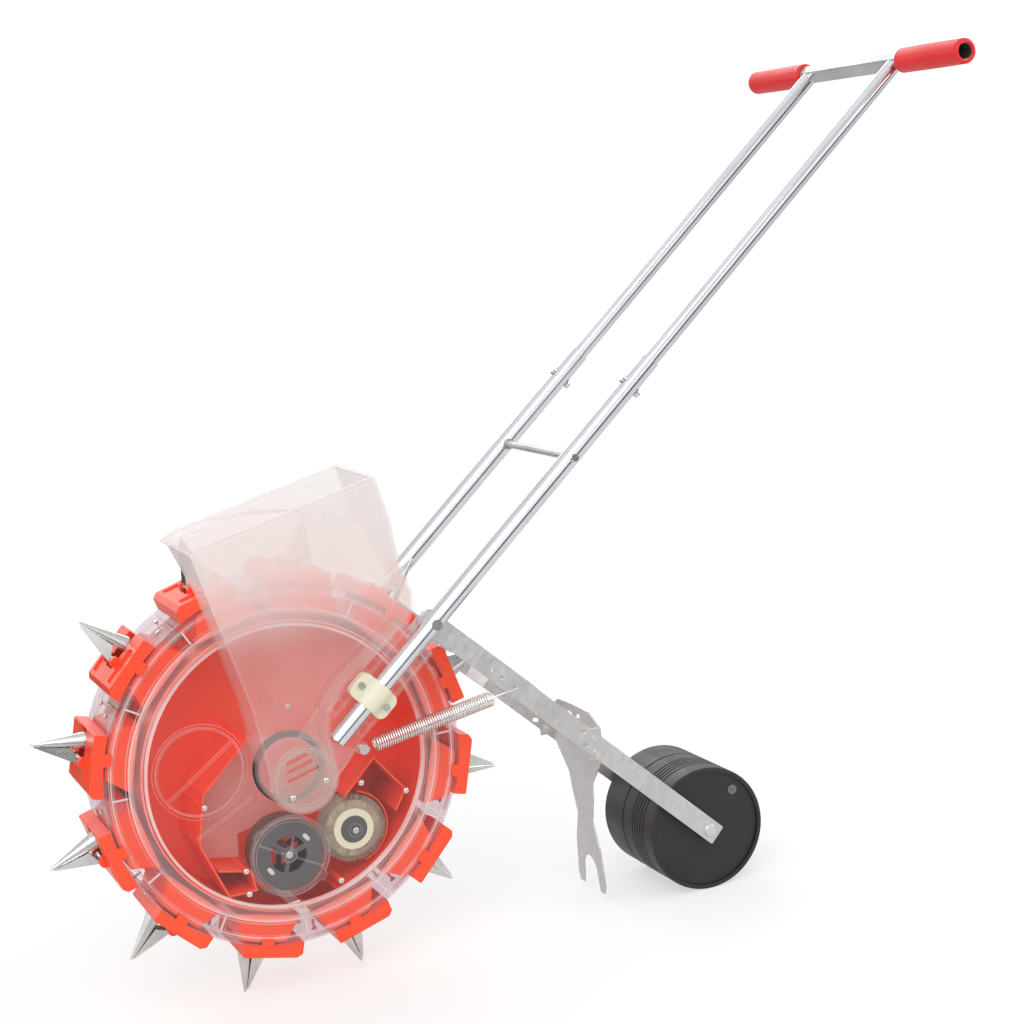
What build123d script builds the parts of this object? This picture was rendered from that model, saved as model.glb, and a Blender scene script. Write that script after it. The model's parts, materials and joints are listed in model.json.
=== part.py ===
from build123d import *

import math
import os

# Hand-pushed drum seeder. A drum with twelve opening beaks turns round a fixed
# seed housing. A hopper feeds the housing through its hub, two long tubes carry
# the handlebar, and a sprung rear frame drags a coverer and a press wheel.
#
# World frame: +X points back towards the operator, +Z up, the ground is Z = 0.
# "left" is the -Y side. Side views are drawn on side(y): sketch x is +X, sketch y
# is +Z, both measured from the drum axis, and extrude() runs towards -Y.

# ---------------------------------------------------------------- driving sizes
BEAK_COUNT = 12
BEAK_PITCH = 360 / BEAK_COUNT
FIRST_BEAK = 135
TIP_RADIUS = 288.2
TIP_FLAT = 0.6
TIP_R = 1.6

# drum shell
DRUM_R = 215.5
RING_BORE_R = 184.8
RING_HALF = 53.3
SHEET = 2.4
TREAD_T = 3.0
HOLDER_HALF = 55.0
HOLDER_TOP_R = 230.0

# fixed housing
JOURNAL_R = 184.6
PAN_R = 173.0
PAN_WALL = 2.6
COVER_INNER = 53.7
COVER_T = 2.5
PORT_R = 35.6
BACK_Y = 39.5

# seed metering train, module in millimetres
MODULE = 2.5
RING_TEETH = 129
PINION_TEETH = 43
BRUSH_TEETH = 25
PRESSURE_ANGLE = math.radians(20)
BACKLASH = 0.12
GEAR_LOW = 45.0
GEAR_HIGH = 50.0
ROLLER_R = 43.0
BRUSH_R = 41.5
ROLLER_DIRECTION = -96.2
BRUSH_DIRECTION = 6.7
ROLLER_OFFSET = (RING_TEETH - PINION_TEETH) * MODULE / 2
BRUSH_OFFSET = (PINION_TEETH + BRUSH_TEETH) * MODULE / 2
SHAFT_R = 5.0
SHAFT_FIT = 0.05

# hopper
HOPPER_LEFT = -122.0
HOPPER_RIGHT = 17.0
HOPPER_WALL = 2.6
CHUTE_R = 41.0
CHUTE_INNER_Y = -62.0
BEAK_CLEAR_R = 292.0
HOLDER_CLEAR_R = 240.0

# handle tubes
TUBE_Y = 100.0
TUBE_START = (49.0, 29.5)
TUBE_ANGLE = 39.89
LOWER_R = 11.0
LOWER_BORE_R = 9.7
UPPER_R = 9.5
UPPER_BORE_R = 8.2
LOWER_LENGTH = 589.0
UPPER_START = 525.0
HANDLE_T = 1088.4
CLAMP_T = 67.0
PIVOT_T = 176.6
JOINT_T = 548.0
CROSSBAR_T = 434.5
HANDLE_HALF = 243.0
HANDLE_R = 11.0
HANDLE_BORE_R = 9.5
BORE_RELIEF = 1.5
BAR_THICK = 14.0
BAR_HIGH = 20.0
BAR_HALF = 112.0
GRIP_R = 15.5
GRIP_IN = 114.0
GRIP_OUT = 245.7

# rear frame, distances s along the arm from its pivot
ARM_WIDTH = 26.0
ARM_T = 2.6
ARM_Y = 87.3
ARM_REAR_Y = 76.0
ARM_BEND = (156.0, 180.0)
SPRING_HOLE_S = 139.6
SPRING_R = 8.8
SPRING_WIRE = 1.0
SPRING_Y = 94.5
SPRING_ANCHOR = (82.0, 11.6)
WHEEL_R = 79.0
WHEEL_HALF = 68.0
WHEEL_SHELL = 3.0
WHEEL_BEHIND = 529.0
AXLE_R = 6.0

# The machine stands on its two lowest beak tips, each 15 degrees off the vertical,
# and its length runs from the foremost tip to the back of the grips.
TIP_REACH = (TIP_RADIUS - TIP_FLAT) * math.cos(math.radians(15)) + TIP_R * math.sin(math.radians(15))
HANDLE_BEHIND = TUBE_START[0] + HANDLE_T * math.cos(math.radians(TUBE_ANGLE))
DRUM_X = -(HANDLE_BEHIND + GRIP_R - TIP_REACH) / 2
DRUM_Z = TIP_REACH

os.makedirs("parts", exist_ok=True)


# -------------------------------------------------------------------- helpers
def side(y):
    """Side-view plane at Y = y, origin on the drum axis."""
    return Plane(origin=(DRUM_X, y, DRUM_Z), x_dir=(1, 0, 0), z_dir=(0, -1, 0))


def side_at(centre, y):
    """Side-view plane whose origin is a point of the side view."""
    return Plane(origin=(DRUM_X + centre[0], y, DRUM_Z + centre[1]), x_dir=(1, 0, 0), z_dir=(0, -1, 0))


def polar(radius, degrees, centre=(0.0, 0.0)):
    """Point of the side view at a radius and direction from a centre."""
    angle = math.radians(degrees)
    return (centre[0] + radius * math.cos(angle), centre[1] + radius * math.sin(angle))


def beak_plane(index):
    """Frame of one beak: x leads in the rolling direction, z is the radius through its tip."""
    angle = math.radians(FIRST_BEAK + BEAK_PITCH * index)
    return Plane(
        origin=(DRUM_X, 0, DRUM_Z),
        x_dir=(-math.sin(angle), 0, math.cos(angle)),
        z_dir=(math.cos(angle), 0, math.sin(angle)),
    )


def tube_plane(y, distance):
    """Plane square to a handle tube: normal up the tube, x to the right, y across and upward."""
    angle = math.radians(TUBE_ANGLE)
    along = (math.cos(angle), 0, math.sin(angle))
    origin = (
        DRUM_X + TUBE_START[0] + distance * along[0],
        y,
        DRUM_Z + TUBE_START[1] + distance * along[2],
    )
    return Plane(origin=origin, x_dir=(0, 1, 0), z_dir=along)


def tube_point(distance, across=0.0):
    """Side-view point at a distance up the tube and a distance above its axis."""
    angle = math.radians(TUBE_ANGLE)
    return (
        TUBE_START[0] + distance * math.cos(angle) - across * math.sin(angle),
        TUBE_START[1] + distance * math.sin(angle) + across * math.cos(angle),
    )


PIVOT = tube_point(PIVOT_T)
WHEEL_CENTRE = (WHEEL_BEHIND, WHEEL_R - DRUM_Z)
ARM_LENGTH = math.hypot(WHEEL_CENTRE[0] - PIVOT[0], WHEEL_CENTRE[1] - PIVOT[1])
ARM_SLOPE = math.atan2(WHEEL_CENTRE[1] - PIVOT[1], WHEEL_CENTRE[0] - PIVOT[0])


def arm_point(distance, across=0.0):
    """Side-view point at a distance down the rear arm and a distance above its centre line."""
    return (
        PIVOT[0] + distance * math.cos(ARM_SLOPE) - across * math.sin(ARM_SLOPE),
        PIVOT[1] + distance * math.sin(ARM_SLOPE) + across * math.cos(ARM_SLOPE),
    )


def involute(angle):
    return math.tan(angle) - angle


def gear_points(teeth, low_r, high_r, slack, phase):
    """Outline of a spur gear. slack thins each tooth at the pitch circle, phase turns the gear."""
    pitch_r = teeth * MODULE / 2
    base_r = pitch_r * math.cos(PRESSURE_ANGLE)
    radii = [low_r, (low_r + pitch_r) / 2, pitch_r, high_r]
    half = []
    for radius in radii:
        slope = math.acos(min(1.0, base_r / radius))
        half.append(math.pi / (2 * teeth) - slack / (2 * pitch_r) + involute(PRESSURE_ANGLE) - involute(slope))
    points = []
    for tooth in range(teeth):
        middle = math.radians(phase) + 2 * math.pi * tooth / teeth
        for radius, width in zip(radii, half):
            points.append((radius * math.cos(middle - width), radius * math.sin(middle - width)))
        for radius, width in zip(reversed(radii), reversed(half)):
            points.append((radius * math.cos(middle + width), radius * math.sin(middle + width)))
    return points


ROLLER_CENTRE = polar(ROLLER_OFFSET, ROLLER_DIRECTION)
BRUSH_CENTRE = polar(BRUSH_OFFSET, BRUSH_DIRECTION, ROLLER_CENTRE)
WINDOW_CENTRE = (-103.5, 16.0)
WINDOW_R = 52.0
BOSS_POINTS = [(-104, -27), (10, 70), (86, -40), (140, -62), (-66, -113), (-66, -141), (46, -152)]
BOSS_R = 4.0
SCREW_R = 1.6
SCREW_HEAD_R = 3.4
SCREW_HEAD = 1.8

# --------------------------------------------------------- drum: two side rings
with BuildPart() as ring_profile:
    with BuildSketch(side(-RING_HALF + SHEET)):
        Circle(DRUM_R)
        Circle(RING_BORE_R, mode=Mode.SUBTRACT)
    extrude(amount=SHEET)
    with BuildSketch(side(-RING_HALF)):
        Circle(205.0)
        Circle(203.4, mode=Mode.SUBTRACT)
    extrude(amount=0.8)
    with BuildSketch(side(-RING_HALF)):
        Circle(RING_BORE_R + 2.2)
        Circle(RING_BORE_R, mode=Mode.SUBTRACT)
    extrude(amount=1.2)

with BuildPart() as drum_ring_left:
    add(ring_profile.part)
drum_ring_left.part.label = "drum_ring_left"
export_step(drum_ring_left.part, "parts/drum_ring_left.step")

with BuildPart() as drum_ring_right:
    add(ring_profile.part)
    mirror(about=Plane.XZ, mode=Mode.REPLACE)
drum_ring_right.part.label = "drum_ring_right"
export_step(drum_ring_right.part, "parts/drum_ring_right.step")

# ------------------------------------------------- drum: clear tread segments
TREAD_GAP = 0.5
BEAK_SLOT = (-24.5, 23.0)
BEAK_SLOT_HALF = 14.2
TREAD_HALF = RING_HALF - SHEET - 0.1


def tread_spot(degrees, y):
    """Plane on the tread of one segment, its normal pointing outward."""
    angle = math.radians(degrees)
    outward = (math.sin(angle), 0, math.cos(angle))
    radius = DRUM_R - 0.1
    return Plane(origin=(radius * outward[0], y, radius * outward[2]), x_dir=(0, 1, 0), z_dir=outward)


SCREW_SPOTS = [tread_spot(-11.0, 20), tread_spot(-13.4, -16)]

with BuildPart() as tread_master:
    with BuildSketch(Plane.XZ.offset(-TREAD_HALF)):
        with BuildLine():
            low = 90 - BEAK_PITCH / 2 + TREAD_GAP / 2
            span = BEAK_PITCH - TREAD_GAP
            CenterArc((0, 0), DRUM_R - 0.1, low, span)
            CenterArc((0, 0), DRUM_R - 0.1 - TREAD_T, low, span)
            Line(polar(DRUM_R - 0.1, low), polar(DRUM_R - 0.1 - TREAD_T, low))
            Line(polar(DRUM_R - 0.1, low + span), polar(DRUM_R - 0.1 - TREAD_T, low + span))
        make_face()
    extrude(amount=2 * TREAD_HALF)
    with BuildSketch(Plane.XY.offset(200)):
        with Locations(((BEAK_SLOT[0] + BEAK_SLOT[1]) / 2, 0)):
            Rectangle(BEAK_SLOT[1] - BEAK_SLOT[0], 2 * BEAK_SLOT_HALF)
    extrude(amount=30, mode=Mode.SUBTRACT)
    with Locations(*SCREW_SPOTS):
        Cylinder(SCREW_R, 12, mode=Mode.SUBTRACT)

with BuildPart() as tread_segments:
    with Locations(*[beak_plane(k) for k in range(BEAK_COUNT)]):
        add(tread_master.part)
tread_segments.part.label = "tread_segments"
export_step(tread_segments.part, "parts/tread_segments.step")

# -------------------------------------------------- drum: orange beak holders
HOLDER_FROM = -25.5
HOLDER_TO = 47.5
PIN_X = 14.0
PIN_Z = 231.0
PIN_R = 2.0
KNUCKLE_R = 6.5
KNUCKLE_OUT = 23.5
PIN_HALF = 20.0

with BuildPart() as holder_master:
    with BuildSketch(Plane.XZ.offset(-HOLDER_HALF)):
        with BuildLine():
            Polyline(
                (HOLDER_FROM, 205),
                (HOLDER_FROM, HOLDER_TOP_R),
                (HOLDER_TO - 6, HOLDER_TOP_R - 1),
                (HOLDER_TO, HOLDER_TOP_R - 6),
                (HOLDER_TO, 205),
                close=True,
            )
        make_face()
        Circle(DRUM_R + 0.1, mode=Mode.SUBTRACT)
    extrude(amount=2 * HOLDER_HALF)
    fillet(holder_master.edges().filter_by(Axis.Y).group_by(Axis.Z)[-1], 2.0)
    # ears that carry the jaw pin
    with BuildSketch(Plane.XZ.offset(-KNUCKLE_OUT)):
        with Locations((PIN_X, PIN_Z)):
            Circle(KNUCKLE_R)
    extrude(amount=2 * KNUCKLE_OUT)
    # slot for the beak, shallow recess on top, hollow ends
    with BuildSketch(Plane.XY.offset(212)):
        with Locations(((BEAK_SLOT[0] + BEAK_SLOT[1]) / 2, 0)):
            Rectangle(BEAK_SLOT[1] - BEAK_SLOT[0] - 1, 2 * BEAK_SLOT_HALF)
    extrude(amount=40, mode=Mode.SUBTRACT)
    with BuildSketch(Plane.XY.offset(HOLDER_TOP_R - 3)):
        with Locations((PIN_X, 38), (PIN_X, -38)):
            RectangleRounded(44, 18, 3)
    extrude(amount=8, mode=Mode.SUBTRACT)
    # tab that reaches down over each side ring
    with BuildSketch(Plane.XZ.offset(-HOLDER_HALF)):
        with Locations((3.0, 212.5)):
            RectangleRounded(15, 11, 1.5)
    extrude(amount=1.5)
    with BuildSketch(Plane.XZ.offset(HOLDER_HALF - 1.5)):
        with Locations((3.0, 212.5)):
            RectangleRounded(15, 11, 1.5)
    extrude(amount=1.5)
    # bore for the jaw pin, blind in both ears
    with BuildSketch(Plane.XZ.offset(-PIN_HALF - 0.1)):
        with Locations((PIN_X, PIN_Z)):
            Circle(PIN_R)
    extrude(amount=2 * PIN_HALF + 0.2, mode=Mode.SUBTRACT)

with BuildPart() as beak_holders:
    with Locations(*[beak_plane(k) for k in range(BEAK_COUNT)]):
        add(holder_master.part)
beak_holders.part.label = "beak_holders"
export_step(beak_holders.part, "parts/beak_holders.step")

# ---------------------------------------------------- drum: steel beaks, fixed half
BEAK_ROOT_X = -9.0
BEAK_ROOT_Z = 216.5
BEAK_HALF_X = 12.8
BEAK_HALF_Y = 12.0
BEAK_SHEET = 1.4
SPLIT_ROOT_X = -1.0

with BuildPart() as beak_shell:
    with BuildSketch(Plane.XY.offset(BEAK_ROOT_Z)):
        with Locations((BEAK_ROOT_X - 0.5, 0)):
            Ellipse(BEAK_HALF_X, BEAK_HALF_Y)
    with BuildSketch(Plane.XY.offset(TIP_RADIUS - TIP_FLAT)):
        Circle(TIP_R)
    loft()
    with BuildSketch(Plane.XY.offset(BEAK_ROOT_Z)):
        with Locations((BEAK_ROOT_X - 0.5, 0)):
            Ellipse(BEAK_HALF_X - BEAK_SHEET, BEAK_HALF_Y - BEAK_SHEET)
    with BuildSketch(Plane.XY.offset(TIP_RADIUS - 9)):
        with Locations((-0.4, 0)):
            Circle(TIP_R)
    loft(mode=Mode.SUBTRACT)

# side view of the split between the fixed half and the jaw
with BuildPart() as fixed_side:
    with BuildSketch(Plane.XZ.offset(-20)):
        with BuildLine():
            Polyline(
                (-40, BEAK_ROOT_Z - 5),
                (SPLIT_ROOT_X, BEAK_ROOT_Z - 5),
                (SPLIT_ROOT_X, 232),
                (0.9, TIP_RADIUS),
                (-40, TIP_RADIUS + 2),
                close=True,
            )
        make_face()
    extrude(amount=40)

with BuildPart() as fixed_beak_master:
    add(beak_shell.part)
    add(fixed_side.part, mode=Mode.INTERSECT)

with BuildPart() as fixed_beaks:
    with Locations(*[beak_plane(k) for k in range(BEAK_COUNT)]):
        add(fixed_beak_master.part)
fixed_beaks.part.label = "fixed_beaks"
export_step(fixed_beaks.part, "parts/fixed_beaks.step")

# ------------------------------------------------------ twelve hinged beak jaws
JAW_SHEET = 1.3
JAW_ROOT_Z = 236.0
JAW_TOP = 284.5
JAW_LEAD_X = 17.0
JAW_HALF = 11.2
JAW_GAP = 0.6
EYE_R = 4.6
EYE_HALF = 13.6
COIL_R = 4.2
COIL_HALF = 5.5


def jaw_section(z, back_x, lead_x, half):
    """Cross-section of the jaw across the beak, from its open back edge to its leading plate."""
    with BuildSketch(Plane.XY.offset(z)) as section:
        with Locations(((back_x + lead_x) / 2, 0)):
            Rectangle(lead_x - back_x, 2 * half)
    return section.sketch


# the jaw is a folded sheet: a leading plate with a flat flange on each side
with BuildPart() as jaw_outside:
    loft([jaw_section(JAW_ROOT_Z, SPLIT_ROOT_X + JAW_GAP, JAW_LEAD_X, JAW_HALF), jaw_section(JAW_TOP, 1.4, 2.9, 1.5)])

with BuildPart() as jaw_inside:
    loft(
        [
            jaw_section(JAW_ROOT_Z, SPLIT_ROOT_X - 8, JAW_LEAD_X - JAW_SHEET, JAW_HALF - JAW_SHEET),
            jaw_section(JAW_TOP - 7, -6, 2.4, 1.1),
        ]
    )

with BuildPart() as jaw_master:
    add(jaw_outside.part)
    add(jaw_inside.part, mode=Mode.SUBTRACT)
    # the flanges stop short of the hinge
    with BuildSketch(Plane.XZ.offset(-20)):
        Polygon((-4, 230), (-4, 244), (7, 239), (JAW_LEAD_X - 3.4, 236.6), (JAW_LEAD_X - 4, 230), align=None)
    extrude(amount=40, mode=Mode.SUBTRACT)
    # hinge eye rolled onto the end of the leading plate
    with BuildSketch(Plane.XZ.offset(-EYE_HALF)):
        with BuildLine():
            Polyline(
                (PIN_X, PIN_Z - 3),
                (PIN_X + EYE_R - 0.3, PIN_Z),
                (JAW_LEAD_X, JAW_ROOT_Z + 0.4),
                (JAW_LEAD_X - 3.4, JAW_ROOT_Z + 0.4),
                close=True,
            )
        make_face()
        with Locations((PIN_X, PIN_Z)):
            Circle(EYE_R)
    extrude(amount=2 * EYE_HALF)
    with BuildSketch(Plane.XZ.offset(-EYE_HALF - 1)):
        with Locations((PIN_X, PIN_Z)):
            Circle(PIN_R + SHAFT_FIT)
    extrude(amount=2 * EYE_HALF + 2, mode=Mode.SUBTRACT)
    with BuildSketch(Plane.XZ.offset(-COIL_HALF - 0.5)):
        with Locations((PIN_X, PIN_Z)):
            Circle(COIL_R + 0.8)
    extrude(amount=2 * COIL_HALF + 1, mode=Mode.SUBTRACT)

for number in range(BEAK_COUNT):
    with BuildPart() as jaw:
        with Locations(beak_plane(number)):
            add(jaw_master.part)
    jaw.part.label = f"jaw_{number + 1:02d}"
    export_step(jaw.part, f"parts/jaw_{number + 1:02d}.step")

with BuildPart() as pin_master:
    with BuildSketch(Plane.XZ.offset(-PIN_HALF)):
        with Locations((PIN_X, PIN_Z)):
            Circle(PIN_R)
    extrude(amount=2 * PIN_HALF)

with BuildPart() as jaw_pins:
    with Locations(*[beak_plane(k) for k in range(BEAK_COUNT)]):
        add(pin_master.part)
jaw_pins.part.label = "jaw_pins"
export_step(jaw_pins.part, "parts/jaw_pins.step")

# torsion springs that shut the jaws, one coil round each pin with a leg into the holder
with BuildPart() as coil_master:
    with BuildSketch(Plane.XZ.offset(-COIL_HALF)):
        with Locations((PIN_X, PIN_Z)):
            Circle(COIL_R)
            Circle(PIN_R + 0.2, mode=Mode.SUBTRACT)
    extrude(amount=2 * COIL_HALF)
    with BuildSketch(Plane.XY.offset(218)):
        with Locations((PIN_X + COIL_R - 0.8, COIL_HALF - 1)):
            Circle(0.7)
    extrude(amount=PIN_Z - 218)

with BuildPart() as jaw_springs:
    with Locations(*[beak_plane(k) for k in range(BEAK_COUNT)]):
        add(coil_master.part)
jaw_springs.part.label = "jaw_springs"
export_step(jaw_springs.part, "parts/jaw_springs.step")

# ------------------------------------------------- drum: screws of the tread
with BuildPart() as tread_screw_pair:
    with Locations(*SCREW_SPOTS):
        Cylinder(SCREW_HEAD_R, SCREW_HEAD, align=(Align.CENTER, Align.CENTER, Align.MIN))
        Cylinder(SCREW_R, 11, align=(Align.CENTER, Align.CENTER, Align.MAX))

with BuildPart() as tread_screws:
    with Locations(*[beak_plane(k) for k in range(BEAK_COUNT)]):
        add(tread_screw_pair.part)
tread_screws.part.label = "tread_screws"
export_step(tread_screws.part, "parts/tread_screws.step")

# --------------------------------------------- drum: orange pockets behind the beaks
POCKET_LEFT = -50.3
POCKET_RIGHT = 43.5
POCKET_WALL = 2.0
POCKET_LOW = 179.0
POCKET_R = DRUM_R - TREAD_T - 0.4

with BuildPart() as pocket_master:
    with BuildSketch(Plane.XZ.offset(-POCKET_RIGHT)):
        Polygon((-40, POCKET_LOW), (40, POCKET_LOW), (24, 216), (-27, 216), align=None)
        Circle(POCKET_R, mode=Mode.INTERSECT)
    extrude(amount=POCKET_RIGHT - POCKET_LEFT)
    with BuildSketch(Plane.XZ.offset(-POCKET_RIGHT + POCKET_WALL)):
        Polygon((-38, POCKET_LOW - 1), (38, POCKET_LOW - 1), (20, 209.5), (-23, 209.5), align=None)
    extrude(amount=POCKET_RIGHT - POCKET_LEFT - 2 * POCKET_WALL, mode=Mode.SUBTRACT)
    with BuildSketch(Plane.XY.offset(200)):
        with Locations((-1.5, 0)):
            Rectangle(40, 26)
    extrude(amount=20, mode=Mode.SUBTRACT)

# the beak frame's y axis points to the left, so the master is mirrored first
with BuildPart() as pocket_mirrored:
    add(pocket_master.part)
    mirror(about=Plane.XZ, mode=Mode.REPLACE)

with BuildPart() as seed_pockets:
    with Locations(*[beak_plane(k) for k in range(BEAK_COUNT)]):
        add(pocket_mirrored.part)
seed_pockets.part.label = "seed_pockets"
export_step(seed_pockets.part, "parts/seed_pockets.step")

# --------------------------------------------------- drum: internal ring gear
RING_PITCH_R = RING_TEETH * MODULE / 2
RING_GEAR_LOW = 44.6
RING_GEAR_HIGH = 50.8

with BuildPart() as ring_gear:
    with BuildSketch(side(RING_GEAR_HIGH)):
        Circle(200.0)
        Polygon(
            *gear_points(
                RING_TEETH,
                RING_PITCH_R - 0.9 * MODULE,
                RING_PITCH_R + 1.25 * MODULE,
                -BACKLASH,
                ROLLER_DIRECTION,
            ),
            align=None,
            mode=Mode.SUBTRACT,
        )
    extrude(amount=RING_GEAR_HIGH - RING_GEAR_LOW)
ring_gear.part.label = "ring_gear"
export_step(ring_gear.part, "parts/ring_gear.step")

# --------------------------------------------------------- seed roller and pinion
ROLLER_FRONT = -50.5
ROLLER_BACK = -14.0
ROLLER_WALL = 4.0
ROLLER_WEB = 3.0
ROLLER_POCKETS = 4

with BuildPart() as seed_roller:
    with BuildSketch(side_at(ROLLER_CENTRE, ROLLER_BACK)):
        Circle(ROLLER_R)
        Circle(ROLLER_R - ROLLER_WALL, mode=Mode.SUBTRACT)
    extrude(amount=ROLLER_BACK - ROLLER_FRONT)
    for web_right in (ROLLER_BACK, ROLLER_FRONT + ROLLER_WEB):
        with BuildSketch(side_at(ROLLER_CENTRE, web_right)):
            Circle(ROLLER_R - 1)
            Circle(22, mode=Mode.SUBTRACT)
            with PolarLocations(16, 3, start_angle=15):
                Rectangle(14, 6)
            with PolarLocations(28.5, 2, start_angle=33):
                SlotOverall(12, 6, rotation=90, mode=Mode.SUBTRACT)
        extrude(amount=ROLLER_WEB)
    with BuildSketch(side_at(ROLLER_CENTRE, GEAR_HIGH + 0.6)):
        Circle(SHAFT_R)
    extrude(amount=GEAR_HIGH + 0.6 + 53.0)
    with BuildSketch(side_at(ROLLER_CENTRE, ROLLER_BACK)):
        Circle(8.5)
    extrude(amount=ROLLER_BACK - ROLLER_FRONT)
    with Locations(side_at(ROLLER_CENTRE, (ROLLER_FRONT + ROLLER_BACK) / 2)):
        with PolarLocations(ROLLER_R + 0.5, ROLLER_POCKETS, start_angle=20):
            Sphere(4.0, mode=Mode.SUBTRACT)
seed_roller.part.label = "seed_roller"
export_step(seed_roller.part, "parts/seed_roller.step")

with BuildPart() as roller_pinion:
    with BuildSketch(side_at(ROLLER_CENTRE, GEAR_HIGH)):
        Polygon(
            *gear_points(
                PINION_TEETH,
                PINION_TEETH * MODULE / 2 - 1.2 * MODULE,
                PINION_TEETH * MODULE / 2 + 0.9 * MODULE,
                BACKLASH,
                ROLLER_DIRECTION,
            ),
            align=None,
        )
        Circle(SHAFT_R, mode=Mode.SUBTRACT)
        with PolarLocations(30, 6):
            Circle(9, mode=Mode.SUBTRACT)
    extrude(amount=GEAR_HIGH - GEAR_LOW)
roller_pinion.part.label = "roller_pinion"
export_step(roller_pinion.part, "parts/roller_pinion.step")

# ------------------------------------------------------------ brush and its gear
BRUSH_FRONT = -46.0
BRUSH_BACK = -18.0
BRUSH_RING_R = 25.0
BRUSH_CORE_R = 16.6
BRUSH_SHAFT_R = 4.0

# the brush gear has a gap where the pinion has a tooth
PINION_STEP = 360 / PINION_TEETH
PINION_AHEAD = (ROLLER_DIRECTION - BRUSH_DIRECTION) % PINION_STEP
BRUSH_PHASE = (
    BRUSH_DIRECTION + 180 - PINION_AHEAD * PINION_TEETH / BRUSH_TEETH + 180 / BRUSH_TEETH
)

with BuildPart() as brush_shaft:
    with BuildSketch(side_at(BRUSH_CENTRE, GEAR_HIGH)):
        Polygon(
            *gear_points(
                BRUSH_TEETH,
                BRUSH_TEETH * MODULE / 2 - 1.2 * MODULE,
                BRUSH_TEETH * MODULE / 2 + 0.9 * MODULE,
                BACKLASH,
                BRUSH_PHASE,
            ),
            align=None,
        )
    extrude(amount=GEAR_HIGH - GEAR_LOW)
    with BuildSketch(side_at(BRUSH_CENTRE, GEAR_LOW)):
        Circle(BRUSH_SHAFT_R)
    extrude(amount=GEAR_LOW + 52.5)
    with BuildSketch(side_at(BRUSH_CENTRE, BRUSH_BACK)):
        Circle(BRUSH_CORE_R)
    extrude(amount=BRUSH_BACK - BRUSH_FRONT)
brush_shaft.part.label = "brush_shaft"
export_step(brush_shaft.part, "parts/brush_shaft.step")

with BuildPart() as brush_ring:
    with BuildSketch(side_at(BRUSH_CENTRE, BRUSH_BACK)):
        Circle(BRUSH_RING_R)
        Circle(BRUSH_CORE_R, mode=Mode.SUBTRACT)
    extrude(amount=BRUSH_BACK - BRUSH_FRONT)
    fillet(brush_ring.edges().filter_by(GeomType.CIRCLE).sort_by(SortBy.RADIUS)[-2:], 1.0)
brush_ring.part.label = "brush_ring"
export_step(brush_ring.part, "parts/brush_ring.step")

with BuildPart() as brush_bristles:
    with BuildSketch(side_at(BRUSH_CENTRE, BRUSH_BACK - 2)):
        Circle(BRUSH_R)
        Circle(BRUSH_RING_R + 0.05, mode=Mode.SUBTRACT)
    extrude(amount=BRUSH_BACK - BRUSH_FRONT - 4)
brush_bristles.part.label = "brush_bristles"
export_step(brush_bristles.part, "parts/brush_bristles.step")

# ------------------------------------------------------- fixed housing, clear cover
RIM_IN = 166.0
RIM_HIGH = 3.8
ROLLER_PORT_R = 44.6
PORT_RADII = {PORT_R: (0.0, 0.0), ROLLER_PORT_R: ROLLER_CENTRE, WINDOW_R: WINDOW_CENTRE}
COVER_LEFT = -COVER_INNER - COVER_T

with BuildPart() as housing_cover:
    with BuildSketch(side(-COVER_INNER)):
        Circle(JOURNAL_R)
    extrude(amount=COVER_T)
    with BuildSketch(side(-COVER_INNER + 2.8)):
        Circle(JOURNAL_R)
        Circle(JOURNAL_R - 3, mode=Mode.SUBTRACT)
    extrude(amount=2.8)
    with BuildSketch(side(COVER_LEFT)):
        Circle(PAN_R)
        Circle(RIM_IN, mode=Mode.SUBTRACT)
    extrude(amount=RIM_HIGH)
    fillet(housing_cover.edges().group_by(Axis.Y)[0], 1.4)
    for port_radius, port_centre in PORT_RADII.items():
        with BuildSketch(side_at(port_centre, COVER_LEFT)):
            Circle(port_radius + 4)
            Circle(port_radius, mode=Mode.SUBTRACT)
        extrude(amount=1.2)
        with BuildSketch(side_at(port_centre, 0)):
            Circle(port_radius)
        extrude(amount=100, mode=Mode.SUBTRACT)
    # straight rib moulded beside the window
    with BuildSketch(side(COVER_LEFT)):
        with BuildLine():
            rib_line = Polyline((-117, -62), (-46, -27))
        trace(rib_line, line_width=3.0)
    extrude(amount=1.6)
    with BuildSketch(side_at(BRUSH_CENTRE, -48.0)):
        Circle(8)
        Circle(BRUSH_SHAFT_R + SHAFT_FIT, mode=Mode.SUBTRACT)
    extrude(amount=COVER_INNER - 48.0)
    with BuildSketch(side(0)):
        with Locations(*BOSS_POINTS):
            Circle(SCREW_R)
    extrude(amount=100, mode=Mode.SUBTRACT)
    with BuildSketch(side(COVER_LEFT)):
        with Locations(*BOSS_POINTS):
            Circle(SCREW_HEAD_R + 0.4)
    extrude(amount=3, mode=Mode.SUBTRACT)
housing_cover.part.label = "housing_cover"
export_step(housing_cover.part, "parts/housing_cover.step")

# ------------------------------------------------- fixed housing, orange back pan
CHUTE_MOUTH_FROM = -118
CHUTE_MOUTH_SPAN = 42
WALL_T = 2.2
GEAR_POSTS = [(0, 66), (-104, 20), (104, 40)]

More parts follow.
